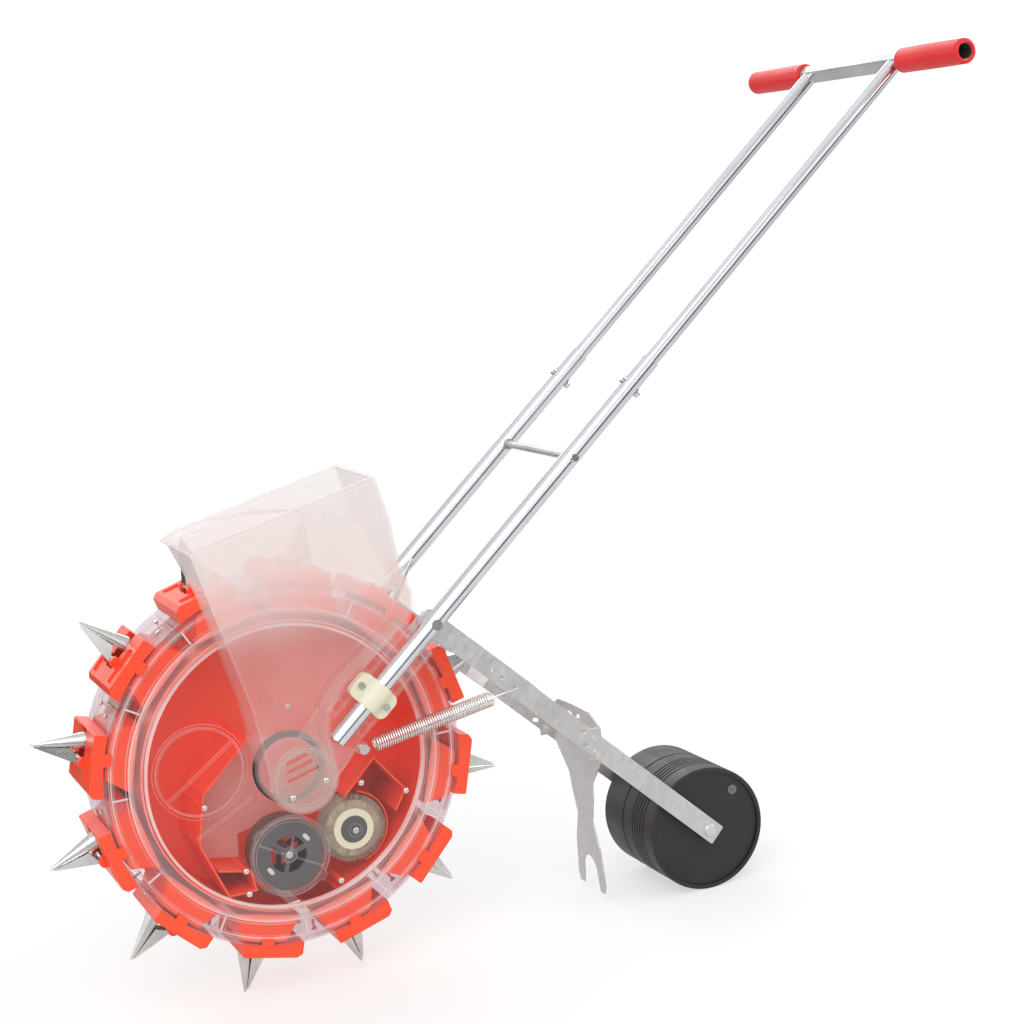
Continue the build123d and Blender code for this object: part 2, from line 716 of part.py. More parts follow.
with BuildPart() as housing_back:
    with BuildSketch(side(BACK_Y + PAN_WALL)):
        Circle(PAN_R)
    extrude(amount=PAN_WALL)
    with BuildSketch(side(BACK_Y)):
        Circle(PAN_R)
        Circle(PAN_R - PAN_WALL, mode=Mode.SUBTRACT)
    extrude(amount=BACK_Y + COVER_INNER - 0.1)
    # walls that lead the seed to the roller
    with BuildSketch(side(BACK_Y)):
        with BuildLine():
            left_wall = Polyline((-42, 42), (-103, -13), (-115, -71), (-89, -139), (-56, -139), (-60, -115), (-98, -106))
        trace(left_wall, line_width=WALL_T)
        with BuildLine():
            right_wall = Polyline((64, -53), (106, -14), (140, -60), (125, -84))
        trace(right_wall, line_width=WALL_T)
        with Locations(*BOSS_POINTS):
            Circle(BOSS_R)
        with Locations(*BOSS_POINTS):
            Circle(SCREW_R, mode=Mode.SUBTRACT)
    extrude(amount=BACK_Y + COVER_INNER - 0.1)
    with BuildSketch(side_at(BRUSH_CENTRE, BACK_Y)):
        with BuildLine():
            shroud = CenterArc((0, 0), BRUSH_R + 2.6, -75, 150)
        trace(shroud, line_width=1.6)
    extrude(amount=BACK_Y + 40)
    with BuildSketch(side(BACK_Y + PAN_WALL + 11.3)):
        with Locations(*GEAR_POSTS):
            Circle(5)
        with Locations(*GEAR_POSTS):
            Circle(SCREW_R, mode=Mode.SUBTRACT)
    extrude(amount=11.3)
    # seed mouth at the bottom and the two shaft bores
    with BuildSketch(side(30)):
        with BuildLine():
            mouth_out = CenterArc((0, 0), PAN_R + 4, CHUTE_MOUTH_FROM, CHUTE_MOUTH_SPAN)
            mouth_in = CenterArc((0, 0), PAN_R - 6, CHUTE_MOUTH_FROM, CHUTE_MOUTH_SPAN)
            Line(mouth_out @ 0, mouth_in @ 0)
            Line(mouth_out @ 1, mouth_in @ 1)
        make_face()
    extrude(amount=70, mode=Mode.SUBTRACT)
    for bore_centre, bore_radius in ((ROLLER_CENTRE, SHAFT_R), (BRUSH_CENTRE, BRUSH_SHAFT_R)):
        with BuildSketch(side_at(bore_centre, BACK_Y)):
            Circle(bore_radius + 5)
        extrude(amount=8)
        with BuildSketch(side_at(bore_centre, 80)):
            Circle(bore_radius + SHAFT_FIT)
        extrude(amount=80, mode=Mode.SUBTRACT)
housing_back.part.label = "housing_back"
export_step(housing_back.part, "parts/housing_back.step")

# ---------------------------------------- milky partition behind the seed space
with BuildPart() as seed_partition:
    with BuildSketch(side(-11)):
        Polygon(
            (-99, -15),
            (-111, -70),
            (-100, -100),
            (-62, -108),
            (-60, -80),
            (62, -50),
            (100, -12),
            (36, 22),
            (-42, 36),
            align=None,
        )
        with Locations(*BOSS_POINTS):
            Circle(BOSS_R + 0.5, mode=Mode.SUBTRACT)
    extrude(amount=2)
seed_partition.part.label = "seed_partition"
export_step(seed_partition.part, "parts/seed_partition.step")

# ------------------------------------------- port seal, roller cover, blank window
with BuildPart() as port_seal:
    with BuildSketch(side(COVER_LEFT - 1.3)):
        Circle(43.0)
        Circle(PORT_R, mode=Mode.SUBTRACT)
    extrude(amount=4.2)
    fillet(port_seal.edges().group_by(Axis.Y)[0], 1.2)
port_seal.part.label = "port_seal"
export_step(port_seal.part, "parts/port_seal.step")

with BuildPart() as roller_cover:
    with BuildSketch(side_at(ROLLER_CENTRE, -COVER_INNER)):
        Circle(ROLLER_PORT_R - 0.2)
    extrude(amount=COVER_T)
    with BuildSketch(side_at(ROLLER_CENTRE, COVER_LEFT - 1.3)):
        Circle(ROLLER_PORT_R + 2.6)
        Circle(ROLLER_PORT_R - 3, mode=Mode.SUBTRACT)
        with PolarLocations(ROLLER_PORT_R + 4, 2, start_angle=138):
            Rectangle(7, 11)
    extrude(amount=2)
    with BuildSketch(side_at(ROLLER_CENTRE, COVER_LEFT)):
        Circle(ROLLER_PORT_R - 0.2)
        Circle(ROLLER_PORT_R - 3, mode=Mode.SUBTRACT)
    extrude(amount=1.3)
    with BuildSketch(side_at(ROLLER_CENTRE, COVER_LEFT)):
        Circle(7)
        for angle, reach in ((-29, 43), (150, 43), (74, 22)):
            with Locations(Location((*polar(reach / 2, angle), 0), angle)):
                Rectangle(reach, 1.6)
        Circle(ROLLER_PORT_R - 2, mode=Mode.INTERSECT)
    extrude(amount=2.6)
    with BuildSketch(side_at(ROLLER_CENTRE, -51.5)):
        Circle(9)
    extrude(amount=COVER_INNER - 51.5)
    with BuildSketch(side_at(ROLLER_CENTRE, 0)):
        Circle(SHAFT_R + SHAFT_FIT)
    extrude(amount=54.5, mode=Mode.SUBTRACT)
roller_cover.part.label = "roller_cover"
export_step(roller_cover.part, "parts/roller_cover.step")

with BuildPart() as window_cover:
    with BuildSketch(side_at(WINDOW_CENTRE, -COVER_INNER)):
        Circle(WINDOW_R - 0.2)
    extrude(amount=COVER_T)
    with BuildSketch(side_at(WINDOW_CENTRE, COVER_LEFT)):
        Circle(WINDOW_R - 0.2)
        Circle(WINDOW_R - 2, mode=Mode.SUBTRACT)
        with Locations(Location((0, 0), 33.5)):
            Rectangle(2 * WINDOW_R - 4, 3.0)
    extrude(amount=2.2)
    # one case screw goes through the window cover and holds it
    with BuildSketch(side_at(BOSS_POINTS[0], 0)):
        Circle(SCREW_R)
    extrude(amount=100, mode=Mode.SUBTRACT)
window_cover.part.label = "window_cover"
export_step(window_cover.part, "parts/window_cover.step")

# --------------------------------------------------------------- far gear cover
HUB_R = 30.0

with BuildPart() as gear_cover:
    with BuildSketch(side(COVER_INNER + COVER_T)):
        Circle(JOURNAL_R)
    extrude(amount=COVER_T)
    with BuildSketch(side(COVER_INNER)):
        Circle(JOURNAL_R)
        Circle(JOURNAL_R - 3, mode=Mode.SUBTRACT)
    extrude(amount=2.5)
    with BuildSketch(side(COVER_INNER + COVER_T + RIM_HIGH)):
        Circle(PAN_R)
        Circle(RIM_IN, mode=Mode.SUBTRACT)
    extrude(amount=RIM_HIGH)
    fillet(gear_cover.edges().group_by(Axis.Y)[-1], 1.4)
    with BuildSketch(side(COVER_INNER + COVER_T + 2)):
        with PolarLocations(100, 12, start_angle=15):
            Rectangle(126, 3)
        Circle(RIM_IN + 1, mode=Mode.INTERSECT)
        Circle(HUB_R + 8)
    extrude(amount=2)
    with BuildSketch(side(100)):
        with Locations(*GEAR_POSTS):
            Circle(SCREW_R)
        with PolarLocations(22, 4, start_angle=45):
            Circle(SCREW_R)
    extrude(amount=60, mode=Mode.SUBTRACT)
gear_cover.part.label = "gear_cover"
export_step(gear_cover.part, "parts/gear_cover.step")

# ------------------------------------------------ hopper, chute and left bracket
BRACKET_LEFT = -85.6
BRACKET_T = 3.0
BRACKET_RIB = 5.0
CAP_R = 39.0
CAP_SCREW_ANGLES = (-15.5, -133.0)
CAP_SCREWS = [polar(25, angle) for angle in CAP_SCREW_ANGLES]
CAP_SLOT_TILT = 15
OUTLET_R = 31.0

HOPPER_OUTLINE = [
    (-39.5, 11),
    (-49, 90),
    (-95, 277),
    (-78, 286),
    (128, 330),
    (140, 277),
    (145, 227),
    (157, 187),
    (155, 168),
    (147, 155),
    (62, 98),
    (41, 71),
    (36, 42),
    (39.5, 11),
]


def clear_of_drum(wall):
    """Half section, (radius, y), of the space the turning drum needs, grown by a wall thickness."""
    return [
        (0, CHUTE_INNER_Y - wall),
        (HOLDER_CLEAR_R + 0.65 * wall, CHUTE_INNER_Y - 0.76 * wall),
        (BEAK_CLEAR_R + 0.65 * wall, -18 - 0.76 * wall),
        (BEAK_CLEAR_R + wall, 60),
        (0, 60),
    ]


# the section is drawn with x as radius and y along the drum axis, then revolved
DRUM_SECTION = Plane(origin=(DRUM_X, 0, DRUM_Z), x_dir=(0, 0, 1), z_dir=(1, 0, 0))

with BuildPart() as drum_space:
    with BuildSketch(DRUM_SECTION):
        Polygon(*[(radius, -y) for radius, y in clear_of_drum(0)], align=None)
    revolve(axis=Axis((DRUM_X, 0, DRUM_Z), (0, 1, 0)))

with BuildPart() as drum_space_wall:
    with BuildSketch(DRUM_SECTION):
        Polygon(*[(radius, -y) for radius, y in clear_of_drum(HOPPER_WALL)], align=None)
    revolve(axis=Axis((DRUM_X, 0, DRUM_Z), (0, 1, 0)))

with BuildPart() as hopper_outside:
    with BuildSketch(side(HOPPER_RIGHT)):
        Polygon(*HOPPER_OUTLINE, align=None)
        Circle(CHUTE_R)
    extrude(amount=HOPPER_RIGHT - HOPPER_LEFT)
    add(drum_space.part, mode=Mode.SUBTRACT)

with BuildPart() as hopper_inside:
    with BuildSketch(side(HOPPER_RIGHT - HOPPER_WALL)):
        Polygon(*HOPPER_OUTLINE, align=None)
        Circle(CHUTE_R)
        offset(amount=-HOPPER_WALL)
        Polygon((-92.6, 278), (-79, 300), (120, 350), (126, 321), (-75, 270), align=None)
    extrude(amount=HOPPER_RIGHT - HOPPER_LEFT - 2 * HOPPER_WALL)
    add(drum_space_wall.part, mode=Mode.SUBTRACT)

with BuildPart() as hopper:
    add(hopper_outside.part)
    add(hopper_inside.part, mode=Mode.SUBTRACT)
    # outlet spigot through the port seal
    with BuildSketch(side(-50)):
        Circle(PORT_R - 0.3)
    extrude(amount=-50 - CHUTE_INNER_Y + 0.5)
    with BuildSketch(side(-40)):
        Circle(PORT_R - 2.6)
    extrude(amount=-40 - CHUTE_INNER_Y + 4, mode=Mode.SUBTRACT)
    # window under the outlet cap, with a lug for each cap screw
    with BuildSketch(side(-100)):
        Circle(OUTLET_R)
        for angle in CAP_SCREW_ANGLES:
            with Locations(Location((*polar(29, angle), 0), angle)):
                Rectangle(16, 9, mode=Mode.SUBTRACT)
    extrude(amount=40, mode=Mode.SUBTRACT)
    # ribbed bracket plate behind the left tube
    with BuildSketch(side(BRACKET_LEFT + BRACKET_T)):
        Polygon(
            tube_point(154, 36),
            tube_point(160, 12),
            tube_point(152, -28),
            tube_point(20, -28),
            (62, -6),
            (40, -24),
            (0, -30),
            (0, 30),
            (45, 75),
            (66, 100),
            align=None,
        )
        Circle(CHUTE_R - 1, mode=Mode.SUBTRACT)
    extrude(amount=BRACKET_T)
    with BuildSketch(side(BRACKET_LEFT)):
        for across in (-16, -27):
            with Locations(Location((*tube_point(86, across), 0), TUBE_ANGLE)):
                Rectangle(128, 2)
        for across in (16, 27):
            with Locations(Location((*tube_point(84, across), 0), TUBE_ANGLE)):
                Rectangle(128, 2)
        for step in range(9):
            for across in (-21.5, 21.5):
                with Locations(Location((*tube_point(24 + 15.5 * step, across), 0), TUBE_ANGLE)):
                    Rectangle(2, 11)
    extrude(amount=BRACKET_RIB)
    with BuildSketch(side(BRACKET_LEFT + BRACKET_T)):
        with Locations(SPRING_ANCHOR):
            Circle(7.5)
    extrude(amount=BRACKET_T + 3)
    # clamp bolt holes and spring screw hole
    with BuildSketch(side(-60)):
        with Locations(tube_point(CLAMP_T, 21), tube_point(CLAMP_T, -21)):
            Circle(2.6)
        with Locations(SPRING_ANCHOR):
            Circle(2.1)
        with Locations(*CAP_SCREWS):
            Circle(SCREW_R)
    extrude(amount=70, mode=Mode.SUBTRACT)
hopper.part.label = "hopper"
export_step(hopper.part, "parts/hopper.step")

CAP_LEFT = HOPPER_LEFT - 0.1
with BuildPart() as outlet_cap:
    with BuildSketch(side(CAP_LEFT)):
        Circle(CAP_R)
    extrude(amount=2.2)
    fillet(outlet_cap.edges().group_by(Axis.Y)[0], 1.2)
    with BuildSketch(side(CAP_LEFT + 2.4)):
        Circle(OUTLET_R - 0.4)
        Circle(OUTLET_R - 2.4, mode=Mode.SUBTRACT)
        for angle in CAP_SCREW_ANGLES:
            with Locations(Location((*polar(29, angle), 0), angle)):
                Rectangle(16, 10, mode=Mode.SUBTRACT)
    extrude(amount=2.5)
    with BuildSketch(side(CAP_LEFT + 3)):
        for shift in (6.5, 16.5, 26):
            with Locations(Location((*polar(shift, 90 + CAP_SLOT_TILT), 0), CAP_SLOT_TILT)):
                RectangleRounded(46 - 0.7 * shift, 5.5, 2)
    extrude(amount=8, mode=Mode.SUBTRACT)
    with BuildSketch(side(CAP_LEFT)):
        Circle(35.5)
        Circle(33.5, mode=Mode.SUBTRACT)
    extrude(amount=3.2)
    with BuildSketch(side(-100)):
        with Locations(*CAP_SCREWS):
            Circle(SCREW_R)
    extrude(amount=40, mode=Mode.SUBTRACT)
outlet_cap.part.label = "outlet_cap"
export_step(outlet_cap.part, "parts/outlet_cap.step")

# --------------------------------------------- right bracket on the gear cover hub
BRACKET_RIGHT = 85.6

with BuildPart() as right_bracket:
    with BuildSketch(side(BRACKET_RIGHT)):
        Polygon(
            tube_point(160, 26),
            tube_point(160, -28),
            tube_point(20, -28),
            (30, -30),
            (-14, -36),
            (-38, 0),
            (-24, 34),
            (20, 46),
            align=None,
        )
        Circle(40)
    extrude(amount=BRACKET_T)
    with BuildSketch(side(BRACKET_RIGHT - BRACKET_T)):
        Circle(HUB_R)
        Circle(HUB_R - 4, mode=Mode.SUBTRACT)
    extrude(amount=BRACKET_RIGHT - BRACKET_T - COVER_INNER - COVER_T - 2.1)
    with BuildSketch(side(COVER_INNER + COVER_T + 2.1 + 4)):
        Circle(HUB_R)
    extrude(amount=4)
    with BuildSketch(side(BRACKET_RIGHT + BRACKET_RIB)):
        for across in (-16, -27, 16, 25):
            with Locations(Location((*tube_point(88, across), 0), TUBE_ANGLE)):
                Rectangle(132, 2)
        for step in range(9):
            for across in (-21.5, 20.5):
                with Locations(Location((*tube_point(24 + 15.5 * step, across), 0), TUBE_ANGLE)):
                    Rectangle(2, 11)
    extrude(amount=BRACKET_RIB)
    with BuildSketch(side(100)):
        with Locations(tube_point(CLAMP_T, 21), tube_point(CLAMP_T, -21)):
            Circle(2.6)
        with PolarLocations(22, 4, start_angle=45):
            Circle(SCREW_R)
    extrude(amount=60, mode=Mode.SUBTRACT)
    # screwdriver access to the hub screws
    with BuildSketch(side(100)):
        with PolarLocations(22, 4, start_angle=45):
            Circle(4.2)
    extrude(amount=100 - COVER_INNER - COVER_T - 2.1 - 4, mode=Mode.SUBTRACT)
right_bracket.part.label = "right_bracket"
export_step(right_bracket.part, "parts/right_bracket.step")

# ------------------------------------------------------------- small case screws
SCREW_SEATS = [(-1, point, COVER_LEFT) for point in BOSS_POINTS]
SCREW_SEATS += [(-1, point, CAP_LEFT - 2.2) for point in CAP_SCREWS]
SCREW_SEATS += [(1, point, COVER_INNER + COVER_T) for point in GEAR_POSTS]
SCREW_SEATS += [(1, polar(22, 45 + 90 * k), COVER_INNER + COVER_T + 6.1) for k in range(4)]

with BuildPart() as case_screws:
    for outward, centre, seat in SCREW_SEATS:
        with BuildSketch(side_at(centre, seat)):
            Circle(SCREW_HEAD_R)
        extrude(amount=-outward * SCREW_HEAD)
        with BuildSketch(side_at(centre, seat)):
            Circle(SCREW_R)
        extrude(amount=outward * 9)
case_screws.part.label = "case_screws"
export_step(case_screws.part, "parts/case_screws.step")

# -------------------------------------------------------------------- handle tubes
with BuildPart() as lower_tube_left:
    with BuildSketch(tube_plane(-TUBE_Y, 0)):
        Circle(LOWER_R)
        Circle(LOWER_BORE_R, mode=Mode.SUBTRACT)
    extrude(amount=LOWER_LENGTH)
    with BuildSketch(side_at(PIVOT, 0)):
        Circle(4.0)
    extrude(amount=150, mode=Mode.SUBTRACT)
    with BuildSketch(side_at(tube_point(CROSSBAR_T), 0)):
        Circle(2.6)
    extrude(amount=150, mode=Mode.SUBTRACT)
    with Locations(tube_plane(-TUBE_Y, JOINT_T)):
        Cylinder(3.05, 60, rotation=(90, 0, 0), mode=Mode.SUBTRACT)
lower_tube_left.part.label = "lower_tube_left"
export_step(lower_tube_left.part, "parts/lower_tube_left.step")

with BuildPart() as lower_tube_right:
    add(lower_tube_left.part)
    mirror(about=Plane.XZ, mode=Mode.REPLACE)
lower_tube_right.part.label = "lower_tube_right"
export_step(lower_tube_right.part, "parts/lower_tube_right.step")

with BuildPart() as upper_tube_left:
    with BuildSketch(tube_plane(-TUBE_Y, UPPER_START)):
        Circle(UPPER_R)
        Circle(UPPER_BORE_R, mode=Mode.SUBTRACT)
    extrude(amount=HANDLE_T - BAR_THICK / 2 - UPPER_START)
    with Locations(tube_plane(-TUBE_Y, JOINT_T)):
        Cylinder(3.05, 60, rotation=(90, 0, 0), mode=Mode.SUBTRACT)
upper_tube_left.part.label = "upper_tube_left"
export_step(upper_tube_left.part, "parts/upper_tube_left.step")

with BuildPart() as upper_tube_right:
    add(upper_tube_left.part)
    mirror(about=Plane.XZ, mode=Mode.REPLACE)
upper_tube_right.part.label = "upper_tube_right"
export_step(upper_tube_right.part, "parts/upper_tube_right.step")

CROSSBAR_END = TUBE_Y - LOWER_R - 0.1
with BuildPart() as crossbar:
    with BuildSketch(side_at(tube_point(CROSSBAR_T), CROSSBAR_END)):
        Circle(4.5)
    extrude(amount=2 * CROSSBAR_END)
    for end_right in (CROSSBAR_END, -CROSSBAR_END + 3):
        with BuildSketch(side_at(tube_point(CROSSBAR_T), end_right)):
            Circle(7)
        extrude(amount=3)
    for end_right in (CROSSBAR_END, -CROSSBAR_END + 14):
        with BuildSketch(side_at(tube_point(CROSSBAR_T), end_right)):
            Circle(2.5)
        extrude(amount=14, mode=Mode.SUBTRACT)
crossbar.part.label = "crossbar"
export_step(crossbar.part, "parts/crossbar.step")

# bolts of the telescopic joints and of the crossbar
with BuildPart() as tube_bolts:
    for tube_y in (-TUBE_Y, TUBE_Y):
        with Locations(tube_plane(tube_y, JOINT_T)):
            Cylinder(3.0, 30, rotation=(90, 0, 0))
            with Locations((0, LOWER_R + 2.1, 0)):
                Cylinder(5.5, 4.2, rotation=(90, 0, 0))
            with Locations((0, -LOWER_R - 2.6, 0)):
                Cylinder(5.5, 5.2, rotation=(90, 0, 0))
    for outward in (-1, 1):
        with BuildSketch(side_at(tube_point(CROSSBAR_T), outward * (TUBE_Y + LOWER_R))):
            RegularPolygon(5, 6)
        extrude(amount=-outward * 3.5)
        with BuildSketch(side_at(tube_point(CROSSBAR_T), outward * (TUBE_Y + LOWER_R))):
            Circle(2.5)
        extrude(amount=outward * 34)
tube_bolts.part.label = "tube_bolts"
export_step(tube_bolts.part, "parts/tube_bolts.step")

# ---------------------------------------------------------- handlebar and grips
HANDLE_CENTRE = tube_point(HANDLE_T)
HANDLE_TILT = Location((0, 0, 0), TUBE_ANGLE)

with BuildPart() as handlebar:
    for end_right in (HANDLE_HALF, -BAR_HALF + 2):
        with BuildSketch(side_at(HANDLE_CENTRE, end_right)):
            Circle(HANDLE_R)
            Circle(HANDLE_BORE_R, mode=Mode.SUBTRACT)
        extrude(amount=HANDLE_HALF - BAR_HALF + 2)
    # the flat bar closes the tubes' inner ends, and each bore is relieved where it meets the weld
    with BuildSketch(side_at(HANDLE_CENTRE, BAR_HALF)):
        with Locations(HANDLE_TILT):
            RectangleRounded(BAR_THICK, BAR_HIGH, 2)
    extrude(amount=2 * BAR_HALF)
    for end_right in (BAR_HALF, -BAR_HALF + 2):
        with BuildSketch(side_at(HANDLE_CENTRE, end_right)):
            Circle(HANDLE_R)
        extrude(amount=2)
    for end_right in (BAR_HALF + BORE_RELIEF, -BAR_HALF):
        with BuildSketch(side_at(HANDLE_CENTRE, end_right)):
            Circle(HANDLE_BORE_R + 0.6)
        extrude(amount=BORE_RELIEF, mode=Mode.SUBTRACT)
handlebar.part.label = "handlebar"
export_step(handlebar.part, "parts/handlebar.step")

with BuildPart() as grip_left:
    with BuildSketch(side_at(HANDLE_CENTRE, -GRIP_IN)):
        Circle(GRIP_R)
        Circle(HANDLE_R + 0.05, mode=Mode.SUBTRACT)
    extrude(amount=GRIP_OUT - GRIP_IN)
    with BuildSketch(side_at(HANDLE_CENTRE, -HANDLE_HALF - 0.1)):
        Circle(GRIP_R - 1)
        Circle(HANDLE_BORE_R + 0.6, mode=Mode.SUBTRACT)
    extrude(amount=GRIP_OUT - HANDLE_HALF - 0.1)
    fillet(grip_left.edges().group_by(Axis.Y)[-1].sort_by(SortBy.RADIUS)[-1:], 3)
    fillet(grip_left.edges().group_by(Axis.Y)[0].sort_by(SortBy.RADIUS)[-1:], 2.4)
grip_left.part.label = "grip_left"
export_step(grip_left.part, "parts/grip_left.step")

with BuildPart() as grip_right:
    add(grip_left.part)
    mirror(about=Plane.XZ, mode=Mode.REPLACE)
grip_right.part.label = "grip_right"
export_step(grip_right.part, "parts/grip_right.step")

# --------------------------------------------------- moulded tube clamps and bolts
CLAMP_LONG = 33.0
CLAMP_WIDE = 57.0
CLAMP_SEAT = -BRACKET_RIB + BRACKET_LEFT

with BuildPart() as clamp_left:
    with BuildSketch(side_at(tube_point(CLAMP_T), CLAMP_SEAT + BRACKET_RIB - 0.1)):
        with Locations(HANDLE_TILT):
            RectangleRounded(CLAMP_LONG, CLAMP_WIDE, 9)
    extrude(amount=16)
    with BuildSketch(tube_plane(-TUBE_Y, CLAMP_T - CLAMP_LONG / 2)):
        Circle(LOWER_R + 4.2)
        with Locations((8, 0)):
            Rectangle(16, 2 * LOWER_R + 8.4)
        with Locations((14.3 + 15, 0)):
            Rectangle(30, 60, mode=Mode.SUBTRACT)
    extrude(amount=CLAMP_LONG)
    with BuildSketch(tube_plane(-TUBE_Y, CLAMP_T - 40)):
        Circle(LOWER_R + 0.05)
    extrude(amount=80, mode=Mode.SUBTRACT)
    # room for the ribs of the bracket under the ears
    with BuildSketch(side_at(tube_point(CLAMP_T), BRACKET_LEFT)):
        with Locations(HANDLE_TILT):
            with Locations((0, 22), (0, -22)):
                Rectangle(60, 14)
    extrude(amount=BRACKET_RIB + 0.1, mode=Mode.SUBTRACT)
    with BuildSketch(side_at(tube_point(CLAMP_T), -60)):
        with Locations(HANDLE_TILT):
            with Locations((0, 21), (0, -21)):
                Circle(2.55)
    extrude(amount=60, mode=Mode.SUBTRACT)
clamp_left.part.label = "clamp_left"
export_step(clamp_left.part, "parts/clamp_left.step")

with BuildPart() as clamp_right:
    add(clamp_left.part)
    mirror(about=Plane.XZ, mode=Mode.REPLACE)
clamp_right.part.label = "clamp_right"
export_step(clamp_right.part, "parts/clamp_right.step")

CLAMP_TOP = -BRACKET_LEFT + 16.1
with BuildPart() as bracket_bolts:
    for outward in (-1, 1):
        for across in (-21, 21):
            centre = tube_point(CLAMP_T, across)
            with BuildSketch(side_at(centre, outward * CLAMP_TOP)):
                Circle(4.2)
            extrude(amount=-outward * 3)
            with BuildSketch(side_at(centre, outward * CLAMP_TOP)):
                Circle(2.5)
            extrude(amount=outward * 25)
            with BuildSketch(side_at(centre, outward * (CLAMP_TOP - 19.3))):
                RegularPolygon(4.2, 6)
            extrude(amount=outward * 3.5)
    # screw that anchors the spring
    with BuildSketch(side_at(SPRING_ANCHOR, -80)):
        Circle(2.0)
    extrude(amount=18)
    with BuildSketch(side_at(SPRING_ANCHOR, -96.5)):
        Circle(6.0)
    extrude(amount=3)
    with BuildSketch(side_at(SPRING_ANCHOR, -79)):
        RegularPolygon(4, 6)
    extrude(amount=3)
bracket_bolts.part.label = "bracket_bolts"
export_step(bracket_bolts.part, "parts/bracket_bolts.step")

# ------------------------------------------------------------------- rear frame
def arm_side(y, distance=0.0):
    """Side-view plane of the rear arm: x down the arm, y across it, upward."""
    centre = arm_point(distance)
    return Plane(
        origin=(DRUM_X + centre[0], y, DRUM_Z + centre[1]),
        x_dir=(math.cos(ARM_SLOPE), 0, math.sin(ARM_SLOPE)),
        z_dir=(0, -1, 0),
    )


def arm_edge():
    """Plane that sees the arm edge on: x down the arm, y towards the right side."""
    return Plane(
        origin=(DRUM_X + PIVOT[0], 0, DRUM_Z + PIVOT[1]),
        x_dir=(math.cos(ARM_SLOPE), 0, math.sin(ARM_SLOPE)),
        z_dir=(-math.sin(ARM_SLOPE), 0, math.cos(ARM_SLOPE)),
    )


ARM_HOLES = [(102.4, -2.5, 1.6), (117.3, -2.7, 2.4), (SPRING_HOLE_S, -2.6, 2.4), (274, 6.7, 2.6), (288, -6.7, 2.6)]
ARM_SLOTS = [(255.5, 5.0), (269.0, -6.7)]
PIVOT_BOLT_R = 4.0

with BuildPart() as arm_left:
    with BuildSketch(arm_edge()):
        path = [
            (-14, -ARM_Y),
            (ARM_BEND[0], -ARM_Y),
            (ARM_BEND[1], -ARM_REAR_Y),
            (ARM_LENGTH + 13, -ARM_REAR_Y),
        ]
        near_edge = [(s, y - ARM_T / 2) for s, y in path]
        far_edge = [(s, y + ARM_T / 2) for s, y in reversed(path)]
        Polygon(*near_edge, *far_edge, align=None)
    extrude(amount=ARM_WIDTH / 2, both=True)
    ends = arm_left.edges().filter_by(Axis.Y)
    fillet(ends.sort_by(Axis.Z)[-2:], 10)
    fillet(ends.sort_by(Axis.Z)[:2], 2)
    with BuildSketch(arm_side(0)):
        for hole_s, hole_n, hole_r in ARM_HOLES:
            with Locations((hole_s, hole_n)):
                Circle(hole_r)
        for slot_s, slot_n in ARM_SLOTS:
            with Locations((slot_s, slot_n)):
                SlotOverall(9, 5.2, rotation=30)
        Circle(PIVOT_BOLT_R + SHAFT_FIT)
        with Locations((ARM_LENGTH, 0)):
            Circle(AXLE_R)
    extrude(amount=120, mode=Mode.SUBTRACT)
arm_left.part.label = "arm_left"
export_step(arm_left.part, "parts/arm_left.step")

with BuildPart() as arm_right:
    add(arm_left.part)
    mirror(about=Plane.XZ, mode=Mode.REPLACE)
arm_right.part.label = "arm_right"
export_step(arm_right.part, "parts/arm_right.step")

with BuildPart() as pivot_bolts:
    for outward in (-1, 1):
        with BuildSketch(side_at(PIVOT, outward * (TUBE_Y + LOWER_R))):
            Circle(6.5)
        extrude(amount=-outward * 3.2)
        with BuildSketch(side_at(PIVOT, outward * (TUBE_Y + LOWER_R))):
            Circle(PIVOT_BOLT_R)
        extrude(amount=outward * 28.5)
        with BuildSketch(side_at(PIVOT, outward * 85.8)):
            RegularPolygon(7, 6)
        extrude(amount=outward * 3.3)
pivot_bolts.part.label = "pivot_bolts"
export_step(pivot_bolts.part, "parts/pivot_bolts.step")

AXLE_HALF = ARM_REAR_Y + ARM_T / 2
with BuildPart() as press_axle:
    with BuildSketch(side_at(WHEEL_CENTRE, AXLE_HALF)):
        Circle(AXLE_R)
    extrude(amount=2 * AXLE_HALF)
    with BuildSketch(side_at(WHEEL_CENTRE, -AXLE_HALF)):
        Circle(AXLE_R + 1.6)
    extrude(amount=2)
    with BuildSketch(side_at(WHEEL_CENTRE, AXLE_HALF + 2)):
        Circle(AXLE_R + 1.6)
    extrude(amount=2)
    fillet(press_axle.edges().group_by(Axis.Y)[0], 1)
    fillet(press_axle.edges().group_by(Axis.Y)[-1], 1)
press_axle.part.label = "press_axle"
export_step(press_axle.part, "parts/press_axle.step")

# coverer: a cross plate whose forked blade draws soil over the row
COVERER_X = 392.0
COVERER_T = 2.0
COVERER_HALF = ARM_REAR_Y - ARM_T / 2 - 0.1
COVERER_PLANE = Plane(origin=(DRUM_X + COVERER_X, 0, DRUM_Z), x_dir=(0, 1, 0), z_dir=(1, 0, 0))

